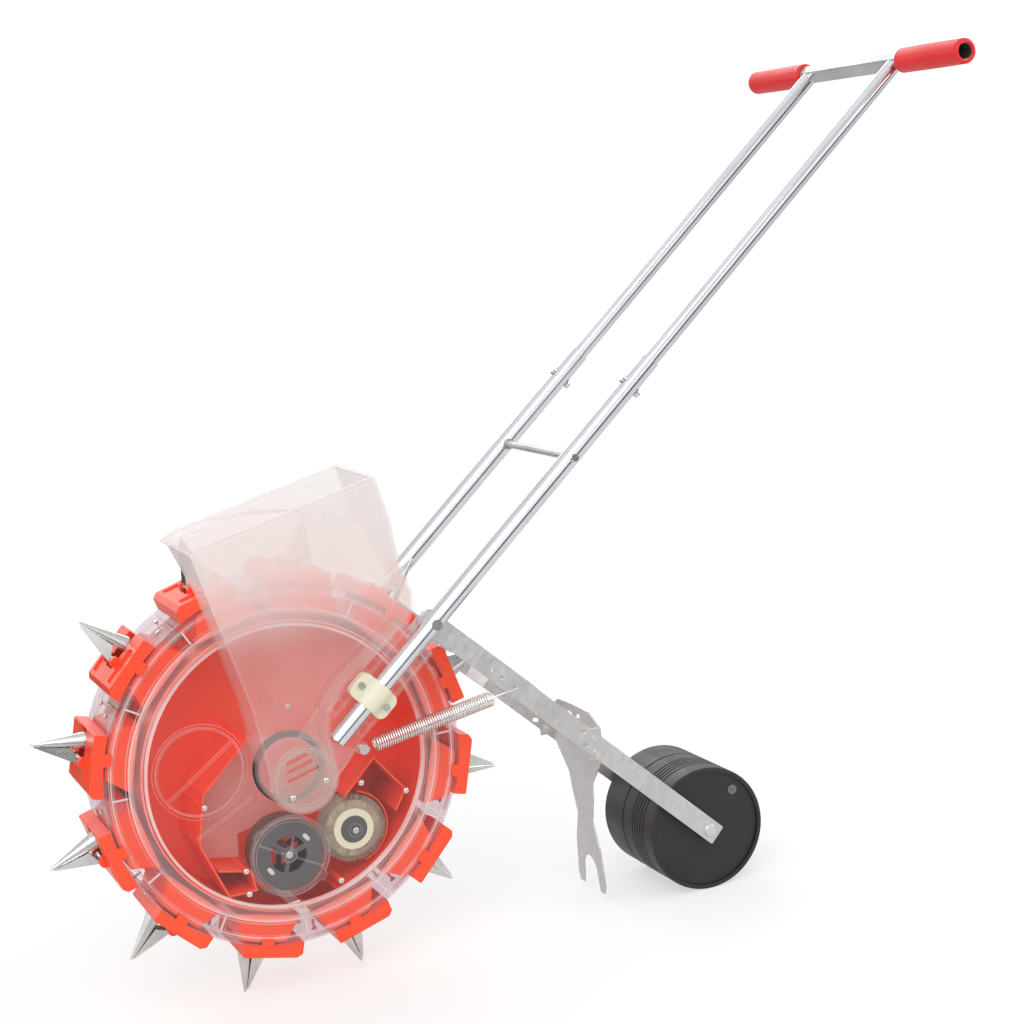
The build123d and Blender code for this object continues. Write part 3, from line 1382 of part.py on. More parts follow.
with BuildPart() as coverer:
    with BuildSketch(COVERER_PLANE):
        half_outline = [
            (0, -20),
            (43, -21),
            (COVERER_HALF, -36),
            (COVERER_HALF, -74),
            (34, -116),
            (30, -140),
            (21, -168),
            (34, -204),
            (39, -252),
            (35, -262),
            (24, -262),
            (20, -240),
            (0, -240),
        ]
        Polygon(*half_outline, align=None)
        with Locations((0, -240)):
            Circle(20, mode=Mode.SUBTRACT)
        with Locations(Location((12, -33), 14)):
            SlotOverall(14, 5, mode=Mode.SUBTRACT)
        mirror(about=Plane.YZ)
    extrude(amount=COVERER_T)
    for outward in (-1, 1):
        flange_right = COVERER_HALF if outward > 0 else -COVERER_HALF + COVERER_T
        with BuildSketch(side(flange_right)):
            Polygon(
                (COVERER_X + COVERER_T, -37),
                (COVERER_X + COVERER_T, -73),
                (COVERER_X - 17, -73),
                (COVERER_X - 17, -34),
                (COVERER_X - 3, -34),
                align=None,
            )
            for hole_s, hole_n, hole_r in ARM_HOLES[-2:]:
                with Locations(arm_point(hole_s, hole_n)):
                    Circle(hole_r, mode=Mode.SUBTRACT)
        extrude(amount=COVERER_T)
coverer.part.label = "coverer"
export_step(coverer.part, "parts/coverer.step")

with BuildPart() as coverer_bolts:
    for outward in (-1, 1):
        for hole_s, hole_n, hole_r in ARM_HOLES[-2:]:
            centre = arm_point(hole_s, hole_n)
            with BuildSketch(side_at(centre, outward * (ARM_REAR_Y + ARM_T / 2))):
                Circle(4.2)
            extrude(amount=-outward * 2.2)
            with BuildSketch(side_at(centre, outward * (ARM_REAR_Y + ARM_T / 2))):
                Circle(hole_r - 0.1)
            extrude(amount=outward * 9)
            with BuildSketch(side_at(centre, outward * (COVERER_HALF - COVERER_T))):
                RegularPolygon(4.4, 6)
            extrude(amount=outward * 3)
coverer_bolts.part.label = "coverer_bolts"
export_step(coverer_bolts.part, "parts/coverer_bolts.step")

# ---------------------------------------------------------------- arm spring
SPRING_HOLE = arm_point(SPRING_HOLE_S, -2.6)
SPRING_SPAN = math.hypot(SPRING_HOLE[0] - SPRING_ANCHOR[0], SPRING_HOLE[1] - SPRING_ANCHOR[1])
SPRING_LEAN = math.atan2(SPRING_HOLE[1] - SPRING_ANCHOR[1], SPRING_HOLE[0] - SPRING_ANCHOR[0])
COIL_START = 13.0
COIL_PITCH = 3.0
COIL_COUNT = 52
HOOK_R = 5.0
RING_THICK = 2.6
HOOK_LEG_R = 1.3

spring_plane = Plane(
    origin=(DRUM_X + SPRING_ANCHOR[0], -SPRING_Y, DRUM_Z + SPRING_ANCHOR[1]),
    x_dir=(math.cos(SPRING_LEAN), 0, math.sin(SPRING_LEAN)),
    z_dir=(0, -1, 0),
)
spring_axis = Axis(spring_plane.origin, spring_plane.x_dir)

with BuildPart() as arm_spring:
    with BuildSketch(spring_plane):
        with BuildLine():
            top = []
            for coil in range(COIL_COUNT):
                here = COIL_START + COIL_PITCH * coil
                top.append((here, SPRING_R - 1.0))
                top.append((here + 0.6, SPRING_R))
                top.append((here + COIL_PITCH - 0.6, SPRING_R))
            end = COIL_START + COIL_PITCH * COIL_COUNT
            top.append((end, SPRING_R - 1.0))
            Polyline(*top, (end, SPRING_R - 2.6), (COIL_START, SPRING_R - 2.6), close=True)
        make_face()
    revolve(axis=spring_axis)
    # hooks: straight wires from the end coils, then a short leg through each anchor
    for wire_from, wire_to in ((HOOK_R, COIL_START + 1), (end - 1, SPRING_SPAN)):
        with BuildSketch(Plane(spring_plane.from_local_coords((wire_from, 0, 0)), z_dir=spring_plane.x_dir)):
            Circle(SPRING_WIRE)
        extrude(amount=wire_to - wire_from)
    for cap_at in (COIL_START, end - 2):
        with BuildSketch(Plane(spring_plane.from_local_coords((cap_at, 0, 0)), z_dir=spring_plane.x_dir)):
            Circle(SPRING_R - 1.5)
        extrude(amount=2)
    with BuildSketch(spring_plane.offset(-RING_THICK / 2)):
        Circle(HOOK_R + SPRING_WIRE)
        Circle(HOOK_R - SPRING_WIRE, mode=Mode.SUBTRACT)
    extrude(amount=RING_THICK)
    with BuildSketch(side_at(SPRING_HOLE, -ARM_Y + 4)):
        Circle(HOOK_LEG_R)
    extrude(amount=SPRING_Y - ARM_Y + 4 + HOOK_LEG_R + 0.3)
arm_spring.part.label = "arm_spring"
export_step(arm_spring.part, "parts/arm_spring.step")

# --------------------------------------------------------------------- press wheel
LID_DEPTH = 3.0
GROOVES = [-42, -34, -27, -20, -13, 14]
GROOVE_HALF = 1.6
GROOVE_DEPTH = 2.4
WHEEL_PLANE = Plane(origin=(DRUM_X + WHEEL_CENTRE[0], 0, DRUM_Z + WHEEL_CENTRE[1]), x_dir=(0, 0, 1), z_dir=(1, 0, 0))
wheel_axis = Axis(WHEEL_PLANE.origin, (0, 1, 0))

with BuildPart() as press_wheel:
    with BuildSketch(WHEEL_PLANE):
        with BuildLine():
            outside = [(WHEEL_R - 1, -WHEEL_HALF), (WHEEL_R, -WHEEL_HALF + 1)]
            for groove in GROOVES:
                outside.append((WHEEL_R, groove - GROOVE_HALF))
                outside.append((WHEEL_R - GROOVE_DEPTH, groove - GROOVE_HALF + 0.8))
                outside.append((WHEEL_R - GROOVE_DEPTH, groove + GROOVE_HALF - 0.8))
                outside.append((WHEEL_R, groove + GROOVE_HALF))
            outside += [(WHEEL_R, WHEEL_HALF - 2), (WHEEL_R - 2, WHEEL_HALF)]
            inner_r = WHEEL_R - GROOVE_DEPTH - WHEEL_SHELL
            inside = [
                (AXLE_R + SHAFT_FIT, WHEEL_HALF),
                (AXLE_R + SHAFT_FIT, WHEEL_HALF - 24),
                (AXLE_R + 6, WHEEL_HALF - 24),
                (AXLE_R + 6, WHEEL_HALF - WHEEL_SHELL),
                (inner_r, WHEEL_HALF - WHEEL_SHELL),
                (inner_r, -WHEEL_HALF),
            ]
            Polyline(*[(radius, -y) for radius, y in outside + inside], close=True)
        make_face()
    revolve(axis=wheel_axis)
press_wheel.part.label = "press_wheel"
export_step(press_wheel.part, "parts/press_wheel.step")

PLUG_CENTRE = (WHEEL_CENTRE[0] + 42.0, WHEEL_CENTRE[1] + 42.0)
LID_R = WHEEL_R - GROOVE_DEPTH - WHEEL_SHELL - 0.05
LID_LEFT = -WHEEL_HALF + LID_DEPTH
with BuildPart() as press_wheel_lid:
    with BuildSketch(side_at(WHEEL_CENTRE, LID_LEFT + 3)):
        Circle(LID_R)
    extrude(amount=3)
    with BuildSketch(side_at(WHEEL_CENTRE, LID_LEFT + 3)):
        Circle(LID_R)
        Circle(LID_R - 3, mode=Mode.SUBTRACT)
    extrude(amount=-5)
    with BuildSketch(side_at(WHEEL_CENTRE, LID_LEFT + 24)):
        Circle(AXLE_R + 6)
    extrude(amount=24)
    with BuildSketch(side_at(WHEEL_CENTRE, 0)):
        Circle(AXLE_R + SHAFT_FIT)
    extrude(amount=100, mode=Mode.SUBTRACT)
    with BuildSketch(side_at(PLUG_CENTRE, 0)):
        Circle(5)
    extrude(amount=100, mode=Mode.SUBTRACT)
press_wheel_lid.part.label = "press_wheel_lid"
export_step(press_wheel_lid.part, "parts/press_wheel_lid.step")

with BuildPart() as press_wheel_plug:
    with BuildSketch(side_at(PLUG_CENTRE, LID_LEFT)):
        Circle(6.2)
    extrude(amount=1.6)
    with BuildSketch(side_at(PLUG_CENTRE, LID_LEFT)):
        Circle(4.95)
    extrude(amount=-7)
    with BuildSketch(side_at(PLUG_CENTRE, LID_LEFT - 1.6)):
        Rectangle(6, 1.4)
    extrude(amount=-0.8, mode=Mode.SUBTRACT)
press_wheel_plug.part.label = "press_wheel_plug"
export_step(press_wheel_plug.part, "parts/press_wheel_plug.step")
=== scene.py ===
import json
import math
import random

import bpy
from mathutils import Matrix, Vector


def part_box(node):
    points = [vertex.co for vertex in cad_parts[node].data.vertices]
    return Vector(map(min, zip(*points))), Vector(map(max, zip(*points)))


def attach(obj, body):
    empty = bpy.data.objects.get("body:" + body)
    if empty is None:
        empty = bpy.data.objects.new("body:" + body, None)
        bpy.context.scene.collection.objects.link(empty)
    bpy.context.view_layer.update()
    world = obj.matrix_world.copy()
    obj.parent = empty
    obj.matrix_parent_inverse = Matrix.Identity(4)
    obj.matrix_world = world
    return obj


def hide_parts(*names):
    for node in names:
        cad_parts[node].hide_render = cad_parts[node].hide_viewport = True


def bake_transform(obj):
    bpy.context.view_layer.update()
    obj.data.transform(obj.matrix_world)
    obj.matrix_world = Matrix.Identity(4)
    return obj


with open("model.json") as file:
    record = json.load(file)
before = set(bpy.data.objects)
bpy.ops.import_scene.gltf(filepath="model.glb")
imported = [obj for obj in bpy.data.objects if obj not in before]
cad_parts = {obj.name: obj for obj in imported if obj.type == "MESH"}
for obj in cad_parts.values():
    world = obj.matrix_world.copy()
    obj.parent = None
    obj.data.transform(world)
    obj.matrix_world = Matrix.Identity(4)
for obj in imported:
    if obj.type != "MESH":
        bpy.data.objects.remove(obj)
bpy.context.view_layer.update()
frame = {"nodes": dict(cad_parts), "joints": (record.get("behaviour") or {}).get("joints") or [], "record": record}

# Push seeder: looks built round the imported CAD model. Lengths are metres in the CAD's frame:
# +X back towards the operator, -Y the left side that the camera sees, +Z up.
MM = 0.001
UP = Vector((0, 0, 1))
LEFT = Vector((0, -1, 0))

# ------------------------------------------------------------------ places from the frame
JOINT_AT = {joint["name"]: Vector(joint["pos_m"]) for joint in frame["joints"]}
DRUM = JOINT_AT["drum_spin"]
BRUSH = JOINT_AT["brush_spin"]
ROLLER = JOINT_AT["roller_spin"]
BEAK_COUNT = 12
BEAK_PITCH_DEG = 360 / BEAK_COUNT
FIRST_BEAK_DEG = 135

tube_low, tube_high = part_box("lower_tube_left")
TUBE_SLOPE = math.atan2(tube_high.z - tube_low.z, tube_high.x - tube_low.x)
arm_low, arm_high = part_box("arm_left")
ARM_SLOPE = -math.atan2(arm_high.z - arm_low.z, arm_high.x - arm_low.x)


# ------------------------------------------------------------------ shader building
class Shader:
    """One procedural material, with short calls for the nodes used most."""

    def __init__(self, name):
        self.material = bpy.data.materials.new(name)
        self.material.use_nodes = True
        self.tree = self.material.node_tree
        self.tree.nodes.clear()
        self.output = self.node("ShaderNodeOutputMaterial")
        self.place = self.node("ShaderNodeTexCoord").outputs["Object"]

    def node(self, kind, **settings):
        made = self.tree.nodes.new(kind)
        for key, value in settings.items():
            setattr(made, key, value)
        return made

    def feed(self, socket, value):
        if isinstance(value, bpy.types.NodeSocket):
            self.tree.links.new(value, socket)
        elif isinstance(value, (tuple, list)) and len(value) == 3 and len(socket.default_value) == 4:
            socket.default_value = (*value, 1.0)
        else:
            socket.default_value = value

    def noise(self, scale, detail=4.0, rough=0.55, stretch=(1, 1, 1), turn=0.0):
        """Noise on the object's own coordinates, stretched along axes turned about Y."""
        place = self.place
        if turn:
            turned = self.node("ShaderNodeMapping")
            turned.inputs["Rotation"].default_value = (0, turn, 0)
            self.feed(turned.inputs["Vector"], place)
            place = turned.outputs["Vector"]
        mapping = self.node("ShaderNodeMapping")
        mapping.inputs["Scale"].default_value = stretch
        self.feed(mapping.inputs["Vector"], place)
        noise = self.node("ShaderNodeTexNoise")
        self.feed(noise.inputs["Vector"], mapping.outputs["Vector"])
        noise.inputs["Scale"].default_value = scale
        noise.inputs["Detail"].default_value = detail
        noise.inputs["Roughness"].default_value = rough
        return noise.outputs["Fac"]

    def cells(self, scale, feature="F1"):
        cells = self.node("ShaderNodeTexVoronoi", feature=feature)
        self.feed(cells.inputs["Vector"], self.place)
        cells.inputs["Scale"].default_value = scale
        return cells

    def fit(self, value, low, high, to_low=0.0, to_high=1.0):
        """Maps low..high to to_low..to_high, clamped."""
        fit = self.node("ShaderNodeMapRange")
        self.feed(fit.inputs["Value"], value)
        self.feed(fit.inputs["From Min"], low)
        self.feed(fit.inputs["From Max"], high)
        self.feed(fit.inputs["To Min"], to_low)
        self.feed(fit.inputs["To Max"], to_high)
        return fit.outputs["Result"]

    def calc(self, operation, first, second=0.0):
        calc = self.node("ShaderNodeMath", operation=operation)
        self.feed(calc.inputs[0], first)
        self.feed(calc.inputs[1], second)
        return calc.outputs[0]

    def blend_colours(self, factor, first, second):
        mix = self.node("ShaderNodeMix", data_type="RGBA")
        self.feed(mix.inputs["Factor"], factor)
        self.feed(mix.inputs[6], first)
        self.feed(mix.inputs[7], second)
        return mix.outputs[2]

    def bump(self, height, strength, distance, normal=None):
        bump = self.node("ShaderNodeBump")
        self.feed(bump.inputs["Height"], height)
        bump.inputs["Strength"].default_value = strength
        bump.inputs["Distance"].default_value = distance
        if normal is not None:
            self.feed(bump.inputs["Normal"], normal)
        return bump.outputs["Normal"]

    def rounded(self, radius):
        """Normal that rounds hard edges, and a mask that is 1 along those edges."""
        bevel = self.node("ShaderNodeBevel", samples=4)
        bevel.inputs["Radius"].default_value = radius
        true = self.node("ShaderNodeNewGeometry").outputs["Normal"]
        dot = self.node("ShaderNodeVectorMath", operation="DOT_PRODUCT")
        self.feed(dot.inputs[0], bevel.outputs["Normal"])
        self.feed(dot.inputs[1], true)
        mask = self.fit(dot.outputs["Value"], 0.985, 0.80)
        return bevel.outputs["Normal"], mask

    def mix_shaders(self, factor, first, second):
        mix = self.node("ShaderNodeMixShader")
        self.feed(mix.inputs[0], factor)
        self.tree.links.new(first, mix.inputs[1])
        self.tree.links.new(second, mix.inputs[2])
        return mix.outputs[0]

    def principled(self, **inputs):
        surface = self.node("ShaderNodeBsdfPrincipled")
        for key, value in inputs.items():
            self.feed(surface.inputs[key.replace("_", " ")], value)
        return surface.outputs[0]

    def finish(self, surface):
        self.tree.links.new(surface, self.output.inputs["Surface"])
        return self.material


# ------------------------------------------------------------------ opaque plastics and rubber
def moulded_plastic(name, colour, shade, roughness, grain=900.0, grain_depth=0.03, painted_edge_highlight=0.25):
    """Moulded plastic: slow colour drift, fine mould grain, softly rounded edges with a painted highlight along
    them.
    """
    shader = Shader(name)
    normal, edges = shader.rounded(0.8 * MM)
    drift = shader.noise(9.0, detail=3.0)
    base = shader.blend_colours(shader.fit(drift, 0.35, 0.7), colour, shade)
    # painted highlight: the colour turns paler along the rounded edges
    pale = tuple(min(1.0, channel * 1.15 + 0.05) for channel in colour)
    base = shader.blend_colours(shader.calc("MULTIPLY", edges, painted_edge_highlight), base, pale)
    smudge = shader.noise(34.0, detail=5.0)
    rough = shader.fit(smudge, 0.3, 0.75, roughness - 0.05, roughness + 0.08)
    normal = shader.bump(shader.noise(grain, detail=2.0), grain_depth, 0.2 * MM, normal)
    normal = shader.bump(shader.noise(60.0, detail=2.0), 0.04, 0.5 * MM, normal)
    return shader.finish(shader.principled(Base_Color=base, Roughness=rough, Normal=normal, Coat_Weight=0.12))


ORANGE = moulded_plastic("orange_plastic", (1.0, 0.085, 0.026), (0.96, 0.07, 0.022), 0.34)
CREAM = moulded_plastic("cream_plastic", (0.80, 0.77, 0.60), (0.74, 0.70, 0.52), 0.42, painted_edge_highlight=0.1)
ACETAL = moulded_plastic("gear_plastic", (0.66, 0.62, 0.54), (0.58, 0.54, 0.46), 0.45)
ROLLER_GREY = moulded_plastic(
    "roller_plastic", (0.105, 0.095, 0.096), (0.078, 0.070, 0.073), 0.40, painted_edge_highlight=0.5
)
WHEEL_BLACK = moulded_plastic(
    "wheel_plastic",
    (0.021, 0.018, 0.016),
    (0.014, 0.012, 0.011),
    0.50,
    grain=520.0,
    grain_depth=0.10,
    painted_edge_highlight=0.6,
)
PAD_PALE = moulded_plastic("pad_plastic", (0.70, 0.69, 0.68), (0.62, 0.61, 0.60), 0.5, painted_edge_highlight=0.1)
PLUG_GREY = moulded_plastic("plug_plastic", (0.16, 0.16, 0.16), (0.12, 0.12, 0.12), 0.5)


def seal_rubber():
    shader = Shader("seal_rubber")
    normal = shader.rounded(0.6 * MM)[0]
    bloom = shader.fit(shader.noise(40.0, detail=6.0), 0.45, 0.75, 0.0, 0.35)
    base = shader.blend_colours(bloom, (0.022, 0.022, 0.025), (0.10, 0.10, 0.11))
    normal = shader.bump(shader.noise(1500.0, detail=2.0), 0.2, 0.1 * MM, normal)
    return shader.finish(shader.principled(Base_Color=base, Roughness=0.58, Normal=normal))


def grip_rubber():
    """Soft red vinyl: fine pebble, duller where hands rub."""
    shader = Shader("grip_rubber")
    rub = shader.fit(shader.noise(22.0, detail=4.0, stretch=(1, 0.35, 1)), 0.4, 0.7)
    base = shader.blend_colours(rub, (0.80, 0.034, 0.036), (0.70, 0.028, 0.030))
    rough = shader.fit(rub, 0.0, 1.0, 0.34, 0.50)
    pebble = shader.cells(900.0).outputs["Distance"]
    normal = shader.bump(pebble, 0.12, 0.2 * MM)
    normal = shader.bump(shader.noise(120.0, detail=3.0), 0.06, 0.6 * MM, normal)
    return shader.finish(
        shader.principled(Base_Color=base, Roughness=rough, Normal=normal, Specular_IOR_Level=0.25)
    )


SEAL = seal_rubber()
GRIP = grip_rubber()


# ------------------------------------------------------------------ clear plastics
def clear_plastic(name, tint, haze, milk, edge_highlight_gain, roughness=0.06, edge=0.9 * MM, haze_and_highlights=None):
    """Thin clear moulding: see-through, milky by haze, with painted white highlights along its edges and along the
    given lines, standing for light the walls pipe.
    """
    shader = Shader(name)
    normal, edges = shader.rounded(edge)
    waves = shader.noise(26.0, detail=3.0)
    ripple = shader.bump(waves, 0.10, 1.2 * MM, normal)
    cloud = shader.noise(14.0, detail=5.0)
    cover = shader.fit(cloud, 0.3, 0.75, haze * 0.7, haze * 1.3)
    # painted highlight: white lines along the rounded edges, joined below by the lines the extra function gives
    piped = shader.calc("MULTIPLY", edges, edge_highlight_gain)
    if haze_and_highlights:
        mist, lines = haze_and_highlights(shader)
        cover = shader.calc("ADD", cover, mist)
        piped = shader.calc("MAXIMUM", piped, lines)
    # where the painted highlights lie, the wall turns milky and its milk near white
    cover = shader.calc("MINIMUM", shader.calc("MAXIMUM", cover, piped), 0.95)
    colour = shader.blend_colours(shader.fit(piped, 0.1, 0.6), milk, (0.98, 0.96, 0.95))
    diffuse = shader.node("ShaderNodeBsdfDiffuse")
    shader.feed(diffuse.inputs["Color"], colour)
    glow = shader.node("ShaderNodeBsdfTranslucent")
    shader.feed(glow.inputs["Color"], colour)
    milky = shader.mix_shaders(0.45, diffuse.outputs[0], glow.outputs[0])
    through = shader.node("ShaderNodeBsdfTransparent")
    shader.feed(through.inputs["Color"], tint)
    body = shader.mix_shaders(cover, through.outputs[0], milky)
    gloss = shader.node("ShaderNodeBsdfGlossy")
    scuffs = shader.noise(90.0, detail=6.0)
    shader.feed(gloss.inputs["Roughness"], shader.fit(scuffs, 0.35, 0.8, roughness, roughness + 0.14))
    shader.feed(gloss.inputs["Normal"], ripple)
    fresnel = shader.node("ShaderNodeFresnel")
    fresnel.inputs["IOR"].default_value = 1.45
    shader.feed(fresnel.inputs["Normal"], ripple)
    front = shader.calc("SUBTRACT", 1.0, shader.node("ShaderNodeNewGeometry").outputs["Backfacing"])
    shine = shader.calc("MULTIPLY", fresnel.outputs[0], front)
    surface = shader.mix_shaders(shine, body, gloss.outputs[0])
    # light on its way to the parts inside passes almost unchanged
    passing = shader.node("ShaderNodeBsdfTransparent")
    shader.feed(passing.inputs["Color"], (0.985, 0.98, 0.98))
    ray = shader.node("ShaderNodeLightPath")
    indirect = shader.calc("MAXIMUM", ray.outputs["Is Shadow Ray"], ray.outputs["Is Diffuse Ray"])
    return shader.finish(shader.mix_shaders(indirect, surface, passing.outputs[0]))


def from_drum_centre(shader):
    """How far back, to the right and above a point is, seen from the drum's centre."""
    parts = shader.node("ShaderNodeSeparateXYZ")
    shader.feed(parts.inputs[0], shader.place)
    back = shader.calc("SUBTRACT", parts.outputs["X"], DRUM.x)
    above = shader.calc("SUBTRACT", parts.outputs["Z"], DRUM.z)
    return back, parts.outputs["Y"], above


def drum_angle(shader):
    """Degrees round the drum from the nearest beak, up to half a pitch either way."""
    back, _, above = from_drum_centre(shader)
    turn = shader.calc("DEGREES", shader.calc("ARCTAN2", above, back))
    offset = shader.calc("ADD", turn, 360.0 - FIRST_BEAK_DEG + BEAK_PITCH_DEG / 2)
    return shader.calc("SUBTRACT", shader.calc("FLOORED_MODULO", offset, BEAK_PITCH_DEG), BEAK_PITCH_DEG / 2)


def band(shader, value, low, high, soft):
    """1 between low and high, with soft edges."""
    rise = shader.fit(value, low - soft, low + soft)
    fall = shader.fit(value, high - soft, high + soft, 1.0, 0.0)
    return shader.calc("MULTIPLY", rise, fall)


def drum_radius(shader):
    """Distance from the drum axis."""
    back, _, above = from_drum_centre(shader)
    square = shader.calc("ADD", shader.calc("MULTIPLY", back, back), shader.calc("MULTIPLY", above, above))
    return shader.calc("SQRT", square)


LINE_SOFT = 0.35 * MM


def light_arcs(shader, lines):
    """Rings of piped light, each (radius mm, half width mm, strength), uneven as they go round."""
    radius = drum_radius(shader)
    uneven = shader.fit(shader.noise(7.0, detail=2.0), 0.38, 0.62, 0.45, 1.0)
    total = 0.0
    for line_radius, half, strength in lines:
        line = band(shader, radius, (line_radius - half) * MM, (line_radius + half) * MM, LINE_SOFT)
        total = shader.calc("MAXIMUM", total, shader.calc("MULTIPLY", line, strength))
    return shader.calc("MULTIPLY", total, uneven)


def cover_veil_and_highlights(shader):
    """Painted highlights on the rim of the housing cover and on the thin line inside its edge, and a pale veil
    between the two, painted light over the shaded gap behind.
    """
    rim = band(shader, drum_radius(shader), 173.5 * MM, 184.5 * MM, 0.5 * MM)
    # painted light: the pale veil lifts the shaded gap seen behind the cover
    veil = shader.calc("MULTIPLY", rim, 0.15)
    return veil, light_arcs(shader, [(167.6, 1.6, 0.95), (172.4, 0.5, 0.7), (183.6, 0.5, 0.6)])


def ring_highlights(shader):
    """Painted highlight lines on the side rings: a white radial seam beside each beak holder, and the ring's two
    lips.
    """
    seam = shader.calc("MULTIPLY", band(shader, drum_angle(shader), 13.9, 14.5, 0.12), 0.8)
    seam = shader.calc("MULTIPLY", seam, band(shader, drum_radius(shader), 188 * MM, 206 * MM, 0.5 * MM))
    arcs = light_arcs(shader, [(186.2, 0.8, 0.85), (190.0, 0.4, 0.55), (206.5, 0.6, 0.8), (209.0, 0.4, 0.5)])
    return 0.0, shader.calc("MAXIMUM", seam, arcs)


def tread_highlights(shader):
    """Painted highlights on each tread: a whitish, milky rectangle near its left edge, and the lip lines beside
    it.
    """
    side = from_drum_centre(shader)[1]
    patch = band(shader, drum_angle(shader), -13.0, -7.6, 0.3)
    strip = band(shader, side, -47 * MM, -35 * MM, 0.6 * MM)
    lip = band(shader, side, -50.6 * MM, -49.8 * MM, 0.3 * MM)
    # painted highlight: the whitish patch is laid in as extra haze
    highlight_patch = shader.calc("MULTIPLY", shader.calc("MULTIPLY", patch, strip), 0.45)
    return highlight_patch, shader.calc("MULTIPLY", lip, 0.7)


# slope of the hopper's rim, and its height over the drum axis straight above that axis
HOPPER_RIM_SLOPE = math.radians(12.06)
HOPPER_RIM_HIGH = 302.7 * MM


def hopper_haze_and_highlights(shader):
    """Milkier walls higher above the drum, and painted highlights: a white line along a moulded line just under
    the sloping rim, and a band along the rim's lip.
    """
    back, _, above = from_drum_centre(shader)
    mist = shader.fit(above, 150 * MM, 245 * MM, 0.0, 0.30)
    level = shader.calc("ADD", above, shader.calc("MULTIPLY", back, -math.tan(HOPPER_RIM_SLOPE)))
    # painted highlights: a white line under the rim and a broader white band along its lip
    line = band(shader, level, HOPPER_RIM_HIGH - 7.0 * MM, HOPPER_RIM_HIGH - 6.0 * MM, 0.3 * MM)
    lip = band(shader, level, HOPPER_RIM_HIGH - 1.2 * MM, HOPPER_RIM_HIGH + 9 * MM, 0.4 * MM)
    return mist, shader.calc("MAXIMUM", shader.calc("MULTIPLY", line, 0.5), shader.calc("MULTIPLY", lip, 0.7))


CLEAR_COVER = clear_plastic(
    "clear_cover", (0.99, 0.985, 0.985), 0.022, (0.80, 0.74, 0.74), 0.8, haze_and_highlights=cover_veil_and_highlights
)
CLEAR_PORT = clear_plastic("clear_port", (0.985, 0.98, 0.98), 0.025, (0.80, 0.74, 0.74), 0.85)
CLEAR_RING = clear_plastic(
    "clear_ring", (0.98, 0.955, 0.965), 0.025, (0.74, 0.68, 0.70), 0.7, haze_and_highlights=ring_highlights
)
CLEAR_TREAD = clear_plastic(
    "clear_tread", (0.93, 0.875, 0.90), 0.10, (0.66, 0.60, 0.63), 0.6, haze_and_highlights=tread_highlights
)
CLEAR_HOPPER = clear_plastic(
    "clear_hopper",
    (0.99, 0.98, 0.975),
    0.125,
    (0.90, 0.87, 0.855),
    0.8,
    roughness=0.12,
    edge=1.2 * MM,
    haze_and_highlights=hopper_haze_and_highlights,
)
FROSTED_CAP = clear_plastic(
    "frosted_cap", (0.97, 0.955, 0.94), 0.36, (0.70, 0.63, 0.57), 0.7, roughness=0.16
)
MILKY = clear_plastic("milky_plastic", (0.98, 0.95, 0.94), 0.40, (0.92, 0.66, 0.61), 0.25, roughness=0.2)


# ------------------------------------------------------------------ metals
def plated_steel(
    name,
    colour,
    roughness,
    turn=0.0,
    stretch=(0.06, 1, 1),
    streak=420.0,
    patina=0.10,
    relief=0.03,
    outline=0.0,
):
    """Plated or drawn steel: fine drawing lines, a faint cloudy patina, and a painted shade rim, darker where it
    turns away from the view.
    """
    shader = Shader(name)
    lines = shader.noise(streak, detail=3.0, stretch=stretch, turn=turn)
    cloud = shader.noise(18.0, detail=6.0)
    dull = tuple(channel * (1 - 2.0 * patina) for channel in colour)
    base = shader.blend_colours(shader.fit(cloud, 0.42, 0.72), colour, dull)
    # painted shade: the colour goes dark where the surface turns away from the view, by the outline share
    facing = shader.node("ShaderNodeLayerWeight")
    painted_dark_rim = shader.fit(facing.outputs["Facing"], 0.62, 0.95, 0.0, outline)
    base = shader.blend_colours(painted_dark_rim, base, (0.10, 0.11, 0.12))
    rough = shader.calc(
        "ADD",
        shader.fit(lines, 0.3, 0.7, roughness - 0.03, roughness + 0.05),
        shader.fit(cloud, 0.4, 0.8, 0.0, patina),
    )
    normal = shader.bump(lines, relief, 0.1 * MM)
    return shader.finish(shader.principled(Base_Color=base, Metallic=1.0, Roughness=rough, Normal=normal))


def galvanised(name, turn):
    """Dip-galvanised strip: soft spangle, brushed lines, matt grey, with a painted highlight along its edges."""
    shader = Shader(name)
    normal, edges = shader.rounded(0.5 * MM)
    spangle = shader.cells(150.0).outputs["Color"]
    grey = shader.node("ShaderNodeRGBToBW")
    shader.feed(grey.inputs[0], spangle)
    flakes = shader.fit(grey.outputs[0], 0.1, 0.9)
    brushed = shader.noise(300.0, detail=3.0, stretch=(0.05, 1, 1), turn=turn)
    base = shader.blend_colours(flakes, (0.68, 0.675, 0.665), (0.76, 0.755, 0.75))
    clouds = shader.fit(shader.noise(12.0, detail=6.0), 0.5, 0.8, 0.0, 0.5)
    base = shader.blend_colours(clouds, base, (0.52, 0.515, 0.50))
    # painted highlight: paler grey along the rounded edges
    base = shader.blend_colours(shader.calc("MULTIPLY", edges, 0.5), base, (0.82, 0.82, 0.82))
    rough = shader.fit(brushed, 0.3, 0.7, 0.33, 0.44)
    rough = shader.calc("ADD", rough, shader.calc("MULTIPLY", flakes, 0.06))
    normal = shader.bump(brushed, 0.06, 0.15 * MM, normal)
    return shader.finish(shader.principled(Base_Color=base, Metallic=0.9, Roughness=rough, Normal=normal))


